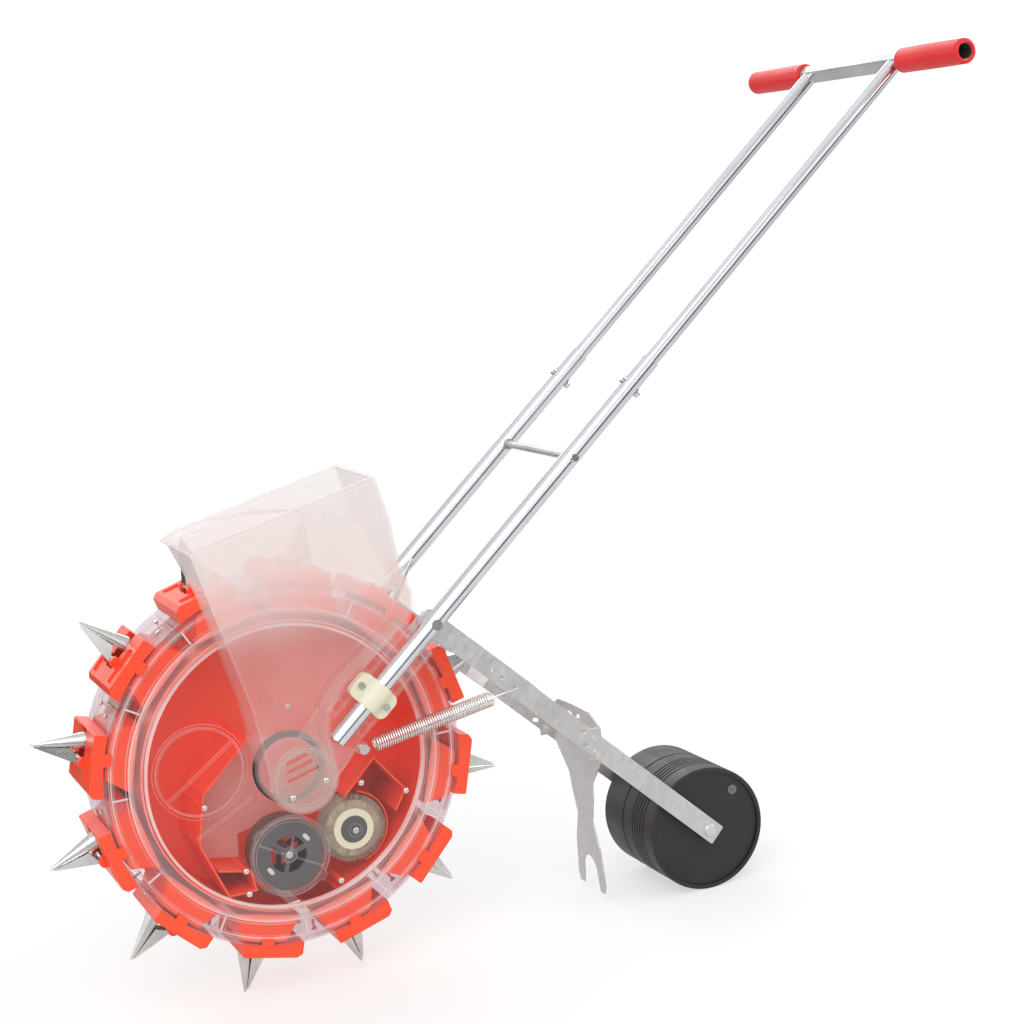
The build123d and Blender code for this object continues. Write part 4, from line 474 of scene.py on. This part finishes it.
TUBE_STEEL = plated_steel(
    "tube_steel", (0.83, 0.85, 0.88), 0.10, turn=TUBE_SLOPE, relief=0.004, patina=0.05, outline=0.75
)
BEAK_STEEL = plated_steel(
    "beak_steel", (0.78, 0.78, 0.76), 0.22, stretch=(1, 0.1, 1), streak=260.0, patina=0.12
)
BAR_STEEL = plated_steel(
    "bar_steel", (0.60, 0.61, 0.60), 0.36, stretch=(1, 0.05, 1), relief=0.01, outline=0.5
)
SPRING_STEEL = plated_steel(
    "spring_steel",
    (0.94, 0.93, 0.90),
    0.22,
    stretch=(1, 1, 1),
    streak=600.0,
    patina=0.04,
    relief=0.01,
    outline=0.85,
)
BOLT_STEEL = plated_steel(
    "bolt_steel", (0.86, 0.86, 0.84), 0.20, stretch=(1, 1, 1), streak=500.0, patina=0.06
)
ARM_STEEL = galvanised("arm_steel", -ARM_SLOPE)
COVERER_STEEL = galvanised("coverer_steel", math.pi / 2)


# ------------------------------------------------------------------ bristles
def bristle_nylon():
    shader = Shader("bristle_nylon")
    tone = shader.noise(700.0, detail=2.0)
    base = shader.blend_colours(shader.fit(tone, 0.3, 0.7), (0.66, 0.55, 0.42), (0.44, 0.35, 0.26))
    return shader.finish(shader.principled(Base_Color=base, Roughness=0.5, Sheen_Weight=0.3))


BRISTLE = bristle_nylon()

# ------------------------------------------------------------------ finishes of the CAD nodes
FINISHES = {
    "housing_cover": CLEAR_COVER,
    "roller_cover": CLEAR_PORT,
    "window_cover": CLEAR_PORT,
    "gear_cover": CLEAR_COVER,
    "drum_ring_left": CLEAR_RING,
    "drum_ring_right": CLEAR_RING,
    "tread_segments": CLEAR_TREAD,
    "hopper": CLEAR_HOPPER,
    "right_bracket": CLEAR_HOPPER,
    "outlet_cap": FROSTED_CAP,
    "seed_partition": MILKY,
    "beak_holders": ORANGE,
    "seed_pockets": ORANGE,
    "housing_back": ORANGE,
    "fixed_beaks": BEAK_STEEL,
    "lower_tube_left": TUBE_STEEL,
    "lower_tube_right": TUBE_STEEL,
    "upper_tube_left": TUBE_STEEL,
    "upper_tube_right": TUBE_STEEL,
    "crossbar": BAR_STEEL,
    "handlebar": BAR_STEEL,
    "press_axle": BOLT_STEEL,
    "arm_left": ARM_STEEL,
    "arm_right": ARM_STEEL,
    "coverer": COVERER_STEEL,
    "jaw_springs": SPRING_STEEL,
    "jaw_pins": BOLT_STEEL,
    "case_screws": BOLT_STEEL,
    "tread_screws": BOLT_STEEL,
    "tube_bolts": BOLT_STEEL,
    "bracket_bolts": BOLT_STEEL,
    "pivot_bolts": BOLT_STEEL,
    "coverer_bolts": BOLT_STEEL,
    "seed_roller": ROLLER_GREY,
    "brush_shaft": ROLLER_GREY,
    "ring_gear": ACETAL,
    "roller_pinion": ACETAL,
    "brush_ring": CREAM,
    "clamp_left": CREAM,
    "clamp_right": CREAM,
    "port_seal": SEAL,
    "press_wheel": WHEEL_BLACK,
    "press_wheel_lid": WHEEL_BLACK,
    "press_wheel_plug": PLUG_GREY,
    "grip_left": GRIP,
    "grip_right": GRIP,
    "brush_bristles": BRISTLE,
    "arm_spring": SPRING_STEEL,
}
FINISHES.update({f"jaw_{number:02d}": BEAK_STEEL for number in range(1, BEAK_COUNT + 1)})

for node_name, node_object in frame["nodes"].items():
    for material_slot in node_object.material_slots:
        material_slot.material = FINISHES[node_name]


# ------------------------------------------------------------------ mesh building
def mesh_piece(name, vertices, faces, material, body=None):
    mesh = bpy.data.meshes.new(name)
    mesh.from_pydata([tuple(v) for v in vertices], [], faces)
    mesh.validate()
    mesh.update()
    mesh.materials.append(material)
    mesh.polygons.foreach_set("use_smooth", [True] * len(mesh.polygons))
    piece = bpy.data.objects.new(name, mesh)
    bpy.context.scene.collection.objects.link(piece)
    if body:
        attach(piece, body)
    return piece


def crisp(piece, degrees=35.0):
    """Keeps edges sharper than the angle hard, the rest smooth."""
    piece.data.set_sharp_from_angle(angle=math.radians(degrees))
    return piece


def side_axes(axis):
    """Two unit vectors square to an axis and to each other."""
    first = axis.cross(UP if abs(axis.z) < 0.9 else Vector((1, 0, 0))).normalized()
    return first, axis.cross(first).normalized()


def lathe(vertices, faces, origin, axis, profile, segments=48):
    """Adds a turned solid: profile is (distance along the axis, radius), closed at both ends."""
    first, second = side_axes(axis)
    start = len(vertices)
    for along, radius in profile:
        for step in range(segments):
            angle = math.tau * step / segments
            ring = first * math.cos(angle) + second * math.sin(angle)
            vertices.append(origin + axis * along + ring * radius)
    for row in range(len(profile) - 1):
        for step in range(segments):
            following = (step + 1) % segments
            low, high = start + row * segments, start + (row + 1) * segments
            faces.append((low + step, low + following, high + following, high + step))
    faces.append(tuple(start + step for step in reversed(range(segments))))
    last = start + (len(profile) - 1) * segments
    faces.append(tuple(last + step for step in range(segments)))


def sweep(vertices, faces, points, radius, sides=10):
    """Adds a round wire along a line of points."""
    start = len(vertices)
    heading = (points[1] - points[0]).normalized()
    across = side_axes(heading)[0]
    for index, point in enumerate(points):
        before = points[max(index - 1, 0)]
        after = points[min(index + 1, len(points) - 1)]
        heading = (after - before).normalized()
        across = (across - heading * across.dot(heading)).normalized()
        other = heading.cross(across)
        for side in range(sides):
            angle = math.tau * side / sides
            vertices.append(point + (across * math.cos(angle) + other * math.sin(angle)) * radius)
    for row in range(len(points) - 1):
        for side in range(sides):
            following = (side + 1) % sides
            low, high = start + row * sides, start + (row + 1) * sides
            faces.append((low + side, low + following, high + following, high + side))
    faces.append(tuple(start + side for side in reversed(range(sides))))
    last = start + (len(points) - 1) * sides
    faces.append(tuple(last + side for side in range(sides)))


def islands(node):
    """Loose parts of a CAD node, each a list of its points."""
    mesh = frame["nodes"][node].data
    keys = [tuple(round(value, 6) for value in vertex.co) for vertex in mesh.vertices]
    parent = {key: key for key in keys}

    def root(key):
        while parent[key] != key:
            parent[key] = parent[parent[key]]
            key = parent[key]
        return key

    for edge in mesh.edges:
        parent[root(keys[edge.vertices[0]])] = root(keys[edge.vertices[1]])
    groups = {}
    for key in parent:
        groups.setdefault(root(key), []).append(Vector(key))
    return [groups[key] for key in sorted(groups)]


# ------------------------------------------------------------------ screws
HEAD_RINGS = 9
HEAD_SEGMENTS = 40
# cross recess: half width and reach as shares of the head's radius, depth as a share of its height
RECESS_WIDE = 0.19
RECESS_REACH = 0.62
RECESS_DEEP = 0.75
DOME_FALL = 0.86
THREAD_PITCH = 1.0 * MM
THREAD_ROOT = 0.8
SHAFT_SEGMENTS = 16
# points this close along a screw's axis lie on the same flat face
SAME_PLANE = 0.01 * MM
TALLEST_HEAD = 5 * MM


def cross_screw(vertices, faces, seat, axis, head_r, head_h, shaft_r, length):
    """Pan-head screw: domed head with a cross recess, ribbed shaft behind the seat."""
    first, second = side_axes(axis)
    start = len(vertices)
    for ring in range(HEAD_RINGS + 1):
        share = ring / HEAD_RINGS
        dome = head_h * math.sqrt(1 - DOME_FALL * share ** 3)
        for step in range(HEAD_SEGMENTS):
            angle = math.tau * step / HEAD_SEGMENTS
            u, v = share * math.cos(angle), share * math.sin(angle)
            in_cross = share < RECESS_REACH and min(abs(u), abs(v)) < RECESS_WIDE * (1.1 - share)
            height = dome - (RECESS_DEEP * head_h * (1 - 0.5 * share) if in_cross else 0.0)
            vertices.append(seat + axis * height + (first * u + second * v) * head_r)
    for ring in range(HEAD_RINGS):
        for step in range(HEAD_SEGMENTS):
            following = (step + 1) % HEAD_SEGMENTS
            low, high = start + ring * HEAD_SEGMENTS, start + (ring + 1) * HEAD_SEGMENTS
            faces.append((low + step, high + step, high + following, low + following))
    profile = [(0.0, head_r)]
    along = 0.0
    while along < length:
        profile.append((-along, shaft_r))
        profile.append((-along - THREAD_PITCH / 2, shaft_r * THREAD_ROOT))
        along += THREAD_PITCH
    profile.append((-length, shaft_r * 0.5))
    lathe(vertices, faces, seat, axis, profile, segments=SHAFT_SEGMENTS)


def screw_set(name, node, body, axis_of):
    """Replaces a CAD node of plain screws with detailed ones in the same places."""
    vertices, faces = [], []
    for points in islands(node):
        axis = axis_of(sum(points, Vector()) / len(points))
        along = [point.dot(axis) for point in points]
        low, high = min(along), max(along)
        top = [point for point in points if point.dot(axis) > high - SAME_PLANE]
        middle = sum(top, Vector()) / len(top)
        head_r = max((point - middle).length for point in top)
        end = [point for point in points if point.dot(axis) < low + SAME_PLANE]
        foot = sum(end, Vector()) / len(end)
        shaft_r = max((point - foot).length for point in end)
        head_h = high - max(value for value in along if high - TALLEST_HEAD < value < high - SAME_PLANE)
        seat = middle - axis * head_h
        cross_screw(vertices, faces, seat, axis, head_r, head_h, shaft_r * 0.98, high - head_h - low)
    piece = mesh_piece(name, vertices, faces, BOLT_STEEL, body)
    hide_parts(node)
    return crisp(piece, 40)


def sideways(centre):
    return LEFT if centre.y < 0 else -LEFT


def outward(centre):
    radial = centre - DRUM
    radial.y = 0
    return radial.normalized()


screw_set("case_screw_set", "case_screws", "frame", sideways)
screw_set("tread_screw_set", "tread_screws", "drum", outward)

# ------------------------------------------------------------------ brush bristles
STRANDS = 3000
STRAND_R = 0.32 * MM
# the strands are laid in this many laps, so that neighbours in the list stand apart
STRAND_LAPS = 13
STRAND_SEED = 11
bristle_low, bristle_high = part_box("brush_bristles")
ring_low, ring_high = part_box("brush_ring")
BRISTLE_R = (bristle_high.x - bristle_low.x) / 2
BRISTLE_ROOT_R = (ring_high.x - ring_low.x) / 2


def brush_bristles():
    """Radial strands round the brush ring over a denser core."""
    rng = random.Random(STRAND_SEED)
    vertices, faces = [], []
    for strand in range(STRANDS):
        angle = math.tau * (strand + rng.random()) / STRANDS * STRAND_LAPS
        direction = Vector((math.cos(angle), 0, math.sin(angle)))
        sideways_unit = Vector((-math.sin(angle), 0, math.cos(angle)))
        y = rng.uniform(bristle_low.y + STRAND_R, bristle_high.y - STRAND_R)
        lean = sideways_unit * rng.gauss(0, 0.7 * MM) + Vector((0, rng.gauss(0, 0.25 * MM), 0))
        root = Vector((BRUSH.x, y, BRUSH.z)) + direction * (BRISTLE_ROOT_R - 0.3 * MM)
        length = BRISTLE_R - BRISTLE_ROOT_R - abs(rng.gauss(0, 0.8 * MM))
        tip = root + direction * length + lean
        tip.y = min(max(tip.y, bristle_low.y), bristle_high.y)
        start = len(vertices)
        for end, thickness in ((root, STRAND_R), (tip, STRAND_R * 0.6)):
            for corner in range(3):
                turn = math.tau * corner / 3
                offset = sideways_unit * math.cos(turn) + Vector((0, 1, 0)) * math.sin(turn)
                vertices.append(end + offset * thickness)
        for corner in range(3):
            following = (corner + 1) % 3
            faces.append((start + corner, start + following, start + 3 + following, start + 3 + corner))
        faces.append((start + 3, start + 4, start + 5))
    centre = Vector((BRUSH.x, bristle_low.y + 2 * MM, BRUSH.z))
    wide = bristle_high.y - bristle_low.y - 4 * MM
    core = BRISTLE_ROOT_R + 0.55 * (BRISTLE_R - BRISTLE_ROOT_R)
    bore = BRISTLE_ROOT_R - 0.2 * MM
    lathe(vertices, faces, centre, Vector((0, 1, 0)), [(0, bore), (0, core), (wide, core), (wide, bore)], 96)
    piece = mesh_piece("brush_strands", vertices, faces, BRISTLE, "brush")
    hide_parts("brush_bristles")


brush_bristles()

# ------------------------------------------------------------------ roller pads and hub screws
PAD_LONG = 11.4 * MM
PAD_WIDE = 5.4 * MM
PAD_FROM_AXIS = 28.5 * MM
PAD_TURN = math.radians(33)
PAD_FACE = -50.2 * MM
PAD_THICK = 1.6 * MM
ROLLER_SHAFT_END = -53.0 * MM
BRUSH_SHAFT_END = -52.5 * MM


def roller_pads():
    """Two pale pads set into the slots of the roller's face."""
    vertices, faces = [], []
    corner_steps = 8
    for turn in (PAD_TURN, PAD_TURN + math.pi):
        out = Vector((math.cos(turn), 0, math.sin(turn)))
        along = Vector((-math.sin(turn), 0, math.cos(turn)))
        middle = Vector((ROLLER.x, 0, ROLLER.z)) + out * PAD_FROM_AXIS
        outline = []
        for end in (1, -1):
            centre = middle + along * end * (PAD_LONG - PAD_WIDE) / 2
            for step in range(corner_steps + 1):
                angle = math.pi * step / corner_steps
                round_end = out * math.cos(angle) + along * math.sin(angle)
                outline.append(centre + round_end * end * PAD_WIDE / 2)
        start = len(vertices)
        count = len(outline)
        for inset, y in ((1.0, PAD_FACE + PAD_THICK), (1.0, PAD_FACE + 0.4 * MM), (0.86, PAD_FACE)):
            for point in outline:
                spot = middle + (point - middle) * inset
                vertices.append(Vector((spot.x, y, spot.z)))
        for row in (0, 1):
            for step in range(count):
                following = (step + 1) % count
                low, high = start + row * count, start + (row + 1) * count
                faces.append((low + step, low + following, high + following, high + step))
        faces.append(tuple(start + step for step in reversed(range(count))))
        faces.append(tuple(start + 2 * count + step for step in range(count)))
    piece = mesh_piece("roller_pads", vertices, faces, PAD_PALE, "roller")
    return crisp(piece, 50)


def hub_screw(name, centre, end, head_r, body):
    vertices, faces = [], []
    cross_screw(vertices, faces, Vector((centre.x, end, centre.z)), LEFT, head_r, 0.9 * MM, 1.4 * MM, 4 * MM)
    piece = mesh_piece(name, vertices, faces, BOLT_STEEL, body)
    crisp(piece, 40)


roller_pads()
hub_screw("roller_hub_screw", ROLLER, ROLLER_SHAFT_END, 4.0 * MM, "roller")
hub_screw("brush_hub_screw", BRUSH, BRUSH_SHAFT_END, 3.7 * MM, "brush")

# ------------------------------------------------------------------ arm spring
COIL_TURNS = 52
COIL_STEPS = 22
COIL_PITCH = 3.0 * MM
COIL_R = 8.5 * MM
WIRE_R = 0.95 * MM
# middle plane of the spring, left of the arm
SPRING_Y = -94.5 * MM
HOOK_RING_R = 5.0 * MM
HOOK_BEND_R = 2.2 * MM
# the ring is open: it starts and ends clear of the wire that leads to the coil
RING_START_DEG = 25
RING_SPAN_DEG = 305
RING_STEPS = 25
BEND_STEPS = 6
WIRE_SIDES = 8
# the end turns start at this share of the coil's radius and widen over a bit more than a turn
END_TURN_SHARE = 0.35
END_TURN_STEPS = 1.2 * COIL_STEPS
LEAD_IN = 13 * MM
LEAD_OUT = 4 * MM
spring_low, spring_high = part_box("arm_spring")


def spring_ends():
    """Middle of the ring round the anchor screw, and of the leg in the arm's hole, on the CAD spring."""
    points = [vertex.co for vertex in frame["nodes"]["arm_spring"].data.vertices]
    front = [point for point in points if point.x < spring_low.x + 4 * MM]
    ring_x = spring_low.x + HOOK_RING_R + WIRE_R
    ring_z = sum(point.z for point in front) / len(front)
    leg = [point for point in points if point.y > spring_high.y - 0.1 * MM]
    return Vector((ring_x, SPRING_Y, ring_z)), sum(leg, Vector()) / len(leg)


def arm_spring():
    """Wound extension spring: ring round the bracket's screw, coil, and a hook into the arm's hole."""
    anchor, hole = spring_ends()
    hook_end = Vector((hole.x, SPRING_Y, hole.z))
    along = (hook_end - anchor).normalized()
    up = LEFT.cross(along).normalized()
    coil_length = COIL_TURNS * COIL_PITCH
    points = []
    for step in range(RING_STEPS + 1):
        angle = math.radians(RING_START_DEG + RING_SPAN_DEG * step / RING_STEPS)
        points.append(anchor + (along * math.cos(angle) + up * math.sin(angle)) * HOOK_RING_R)
    first = anchor + along * LEAD_IN
    total = COIL_TURNS * COIL_STEPS
    for step in range(total + 1):
        angle = math.tau * step / COIL_STEPS - math.pi / 2
        from_end = min(step, total - step)
        taper = min(1.0, END_TURN_SHARE + from_end / END_TURN_STEPS)
        centre = first + along * (coil_length * step / total)
        points.append(centre + (up * math.sin(angle) + LEFT * math.cos(angle)) * COIL_R * taper)
    last = first + along * coil_length
    points.append(last + along * LEAD_OUT)
    points.append(hook_end - along * LEAD_OUT)
    for step in range(BEND_STEPS + 1):
        angle = math.radians(90 * step / BEND_STEPS)
        short = HOOK_BEND_R * (1 - math.sin(angle))
        inward = HOOK_BEND_R * (1 - math.cos(angle))
        points.append(hook_end - along * short - LEFT * inward)
    points.append(Vector((hole.x, hole.y - 0.5 * MM, hole.z)))
    vertices, faces = [], []
    sweep(vertices, faces, points, WIRE_R, sides=WIRE_SIDES)
    piece = mesh_piece("arm_spring_coil", vertices, faces, SPRING_STEEL)
    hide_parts("arm_spring")
    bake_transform(piece)


arm_spring()

# ------------------------------------------------------------------ grips
GRIP_RINGS = 26


def grip(side, node):
    """Red grip: rounded shoulders, a slightly barrelled body, open for the bar at both ends."""
    low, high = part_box(node)
    centre = (low + high) / 2
    outer_r = (high.z - low.z) / 2
    bore = frame["record"]["mounts"][0]["dims"]["r_mm"] * MM
    length = high.y - low.y
    axis = LEFT * side
    origin = Vector((centre.x, high.y if side > 0 else low.y, centre.z))
    profile = [
        (0.0, bore + 1.55 * MM),
        (0.0, outer_r - 3.5 * MM),
        (0.9 * MM, outer_r - 1.4 * MM),
        (2.8 * MM, outer_r - 0.2 * MM),
    ]
    for ring in range(GRIP_RINGS + 1):
        share = ring / GRIP_RINGS
        barrel = 0.3 * MM * math.sin(math.pi * share)
        profile.append((4 * MM + share * (length - 9 * MM), outer_r - 0.35 * MM + barrel))
    profile += [
        (length - 2.6 * MM, outer_r - 0.35 * MM),
        (length - 1.0 * MM, outer_r - 1.2 * MM),
        (length - 0.2 * MM, outer_r - 2.6 * MM),
        (length, outer_r - 3.8 * MM),
        (length, bore + 1.2 * MM),
        (length - 0.8 * MM, bore + 0.7 * MM),
        (length - 2.6 * MM, bore + 0.65 * MM),
    ]
    vertices, faces = [], []
    lathe(vertices, faces, origin, axis, profile, segments=64)
    # the two end caps of the lathe would close the bore, so they go
    faces.pop()
    faces.pop()
    piece = mesh_piece(f"{node}_sleeve", vertices, faces, GRIP, "frame")
    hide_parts(node)
    return crisp(piece, 60)


grip(1, "grip_left")
grip(-1, "grip_right")

# ------------------------------------------------------------------ stage: floor, light, camera
FLOOR_SIZE = 4.0
FLOOR_FADE = (0.9, 1.9)
FLOOR_CLEAR = 0.55
CAMERA_FROM_DRUM = Vector((-612.43, -2324.75, 666.02)) * MM
CAMERA_AZIMUTH = math.radians(-22.29)
CAMERA_ELEVATION = math.radians(9.69)
CAMERA_ROLL = math.radians(-6.62)
FOCAL_SHARE = 2068.15 / 1024
SENSOR = 36.0
VIEW_BACK = Vector(
    (
        math.sin(CAMERA_AZIMUTH) * math.cos(CAMERA_ELEVATION),
        -math.cos(CAMERA_AZIMUTH) * math.cos(CAMERA_ELEVATION),
        math.sin(CAMERA_ELEVATION),
    )
)


def build_floor():
    shader = Shader("floor_paper")
    grain = shader.noise(260.0, detail=3.0)
    base = shader.blend_colours(grain, (0.93, 0.93, 0.93), (0.90, 0.90, 0.90))
    paper = shader.principled(Base_Color=base, Roughness=0.9, Normal=shader.bump(grain, 0.05, 0.2 * MM))
    away = shader.node("ShaderNodeVectorMath", operation="LENGTH")
    shader.feed(away.inputs[0], shader.place)
    fade = shader.fit(away.outputs["Value"], *FLOOR_FADE, FLOOR_CLEAR, 1.0)
    clear = shader.node("ShaderNodeBsdfTransparent")
    material = shader.finish(shader.mix_shaders(fade, paper, clear.outputs[0]))
    half = FLOOR_SIZE / 2
    steps = 8
    line = [-half + FLOOR_SIZE * step / steps for step in range(steps + 1)]
    vertices = [Vector((x, y, 0)) for y in line for x in line]
    faces = []
    for row in range(steps):
        for column in range(steps):
            corner = row * (steps + 1) + column
            faces.append((corner, corner + 1, corner + steps + 2, corner + steps + 1))
    floor = mesh_piece("floor", vertices, faces, material)
    floor.location.z = -0.4 * MM


# brightness of the reflected studio, by height from straight down (0) to straight up (1)
STUDIO_STOPS = [
    (0.0, 0.50),
    (0.35, 0.66),
    (0.39, 0.03),
    (0.45, 0.02),
    (0.49, 0.85),
    (0.62, 1.15),
    (0.80, 0.55),
    (1.0, 0.95),
]
SOFT_LIGHT = 0.72
BACKDROP_WHITE = 1.05


def build_world():
    """White for the camera; even soft light; reflections of a bright studio with a dark low band."""
    world = bpy.data.worlds.new("studio")
    bpy.context.scene.world = world
    world.use_nodes = True
    tree = world.node_tree
    tree.nodes.clear()
    output = tree.nodes.new("ShaderNodeOutputWorld")
    direction = tree.nodes.new("ShaderNodeTexCoord").outputs["Generated"]
    parts = tree.nodes.new("ShaderNodeSeparateXYZ")
    tree.links.new(direction, parts.inputs[0])
    ramp = tree.nodes.new("ShaderNodeValToRGB")
    lift = tree.nodes.new("ShaderNodeMapRange")
    lift.inputs["From Min"].default_value = -1.0
    tree.links.new(parts.outputs["Z"], lift.inputs["Value"])
    tree.links.new(lift.outputs["Result"], ramp.inputs["Fac"])
    elements = ramp.color_ramp.elements
    while len(elements) < len(STUDIO_STOPS):
        elements.new(0.5)
    for element, (position, value) in zip(elements, STUDIO_STOPS):
        element.position = position
        element.color = (value, value, value * 1.01, 1.0)
    ray = tree.nodes.new("ShaderNodeLightPath")
    studio = tree.nodes.new("ShaderNodeBackground")
    tree.links.new(ramp.outputs["Color"], studio.inputs["Color"])
    soft = tree.nodes.new("ShaderNodeBackground")
    soft.inputs["Color"].default_value = (1.0, 1.0, 1.0, 1.0)
    soft.inputs["Strength"].default_value = SOFT_LIGHT
    white = tree.nodes.new("ShaderNodeBackground")
    white.inputs["Color"].default_value = (1.0, 1.0, 1.0, 1.0)
    white.inputs["Strength"].default_value = BACKDROP_WHITE
    glossy_mix = tree.nodes.new("ShaderNodeMixShader")
    tree.links.new(ray.outputs["Is Glossy Ray"], glossy_mix.inputs[0])
    tree.links.new(soft.outputs[0], glossy_mix.inputs[1])
    tree.links.new(studio.outputs[0], glossy_mix.inputs[2])
    camera_mix = tree.nodes.new("ShaderNodeMixShader")
    tree.links.new(ray.outputs["Is Camera Ray"], camera_mix.inputs[0])
    tree.links.new(glossy_mix.outputs[0], camera_mix.inputs[1])
    tree.links.new(white.outputs[0], camera_mix.inputs[2])
    tree.links.new(camera_mix.outputs[0], output.inputs["Surface"])


def area_light(name, position, target, size, power):
    data = bpy.data.lights.new(name, "AREA")
    data.shape = "RECTANGLE"
    data.size, data.size_y = size
    data.energy = power
    light = bpy.data.objects.new(name, data)
    light.location = position
    light.rotation_euler = (Vector(target) - Vector(position)).to_track_quat("-Z", "Y").to_euler()
    bpy.context.scene.collection.objects.link(light)


def build_camera():
    forward = -VIEW_BACK
    right = forward.cross(UP).normalized()
    up = right.cross(forward)
    rolled_right = right * math.cos(CAMERA_ROLL) + up * math.sin(CAMERA_ROLL)
    rolled_up = up * math.cos(CAMERA_ROLL) - right * math.sin(CAMERA_ROLL)
    data = bpy.data.cameras.new("photo_view")
    data.sensor_width = SENSOR
    data.lens = FOCAL_SHARE * SENSOR
    camera = bpy.data.objects.new("photo_view", data)
    turn = Matrix((rolled_right, rolled_up, VIEW_BACK)).transposed().to_4x4()
    camera.matrix_world = Matrix.Translation(DRUM + CAMERA_FROM_DRUM) @ turn
    bpy.context.scene.collection.objects.link(camera)
    bpy.context.scene.camera = camera


# name, place, where it points, size, all in metres, and power in watts
AREA_LIGHTS = [
    ("key", (-1.6, -2.6, 2.9), (0, 0, 0.4), (2.4, 2.4), 62),
    ("fill", (2.6, -1.8, 1.7), (0, 0, 0.5), (2.0, 2.0), 20),
    ("back", (0.8, 2.8, 2.4), (0, 0, 0.4), (2.2, 1.6), 26),
]
# rays cross many thin clear walls before they reach the parts inside
CLEAR_WALLS = 48

build_floor()
build_world()
for light in AREA_LIGHTS:
    area_light(*light)
build_camera()
scene = bpy.context.scene
scene.view_settings.view_transform = "Standard"
scene.cycles.transparent_max_bounces = CLEAR_WALLS
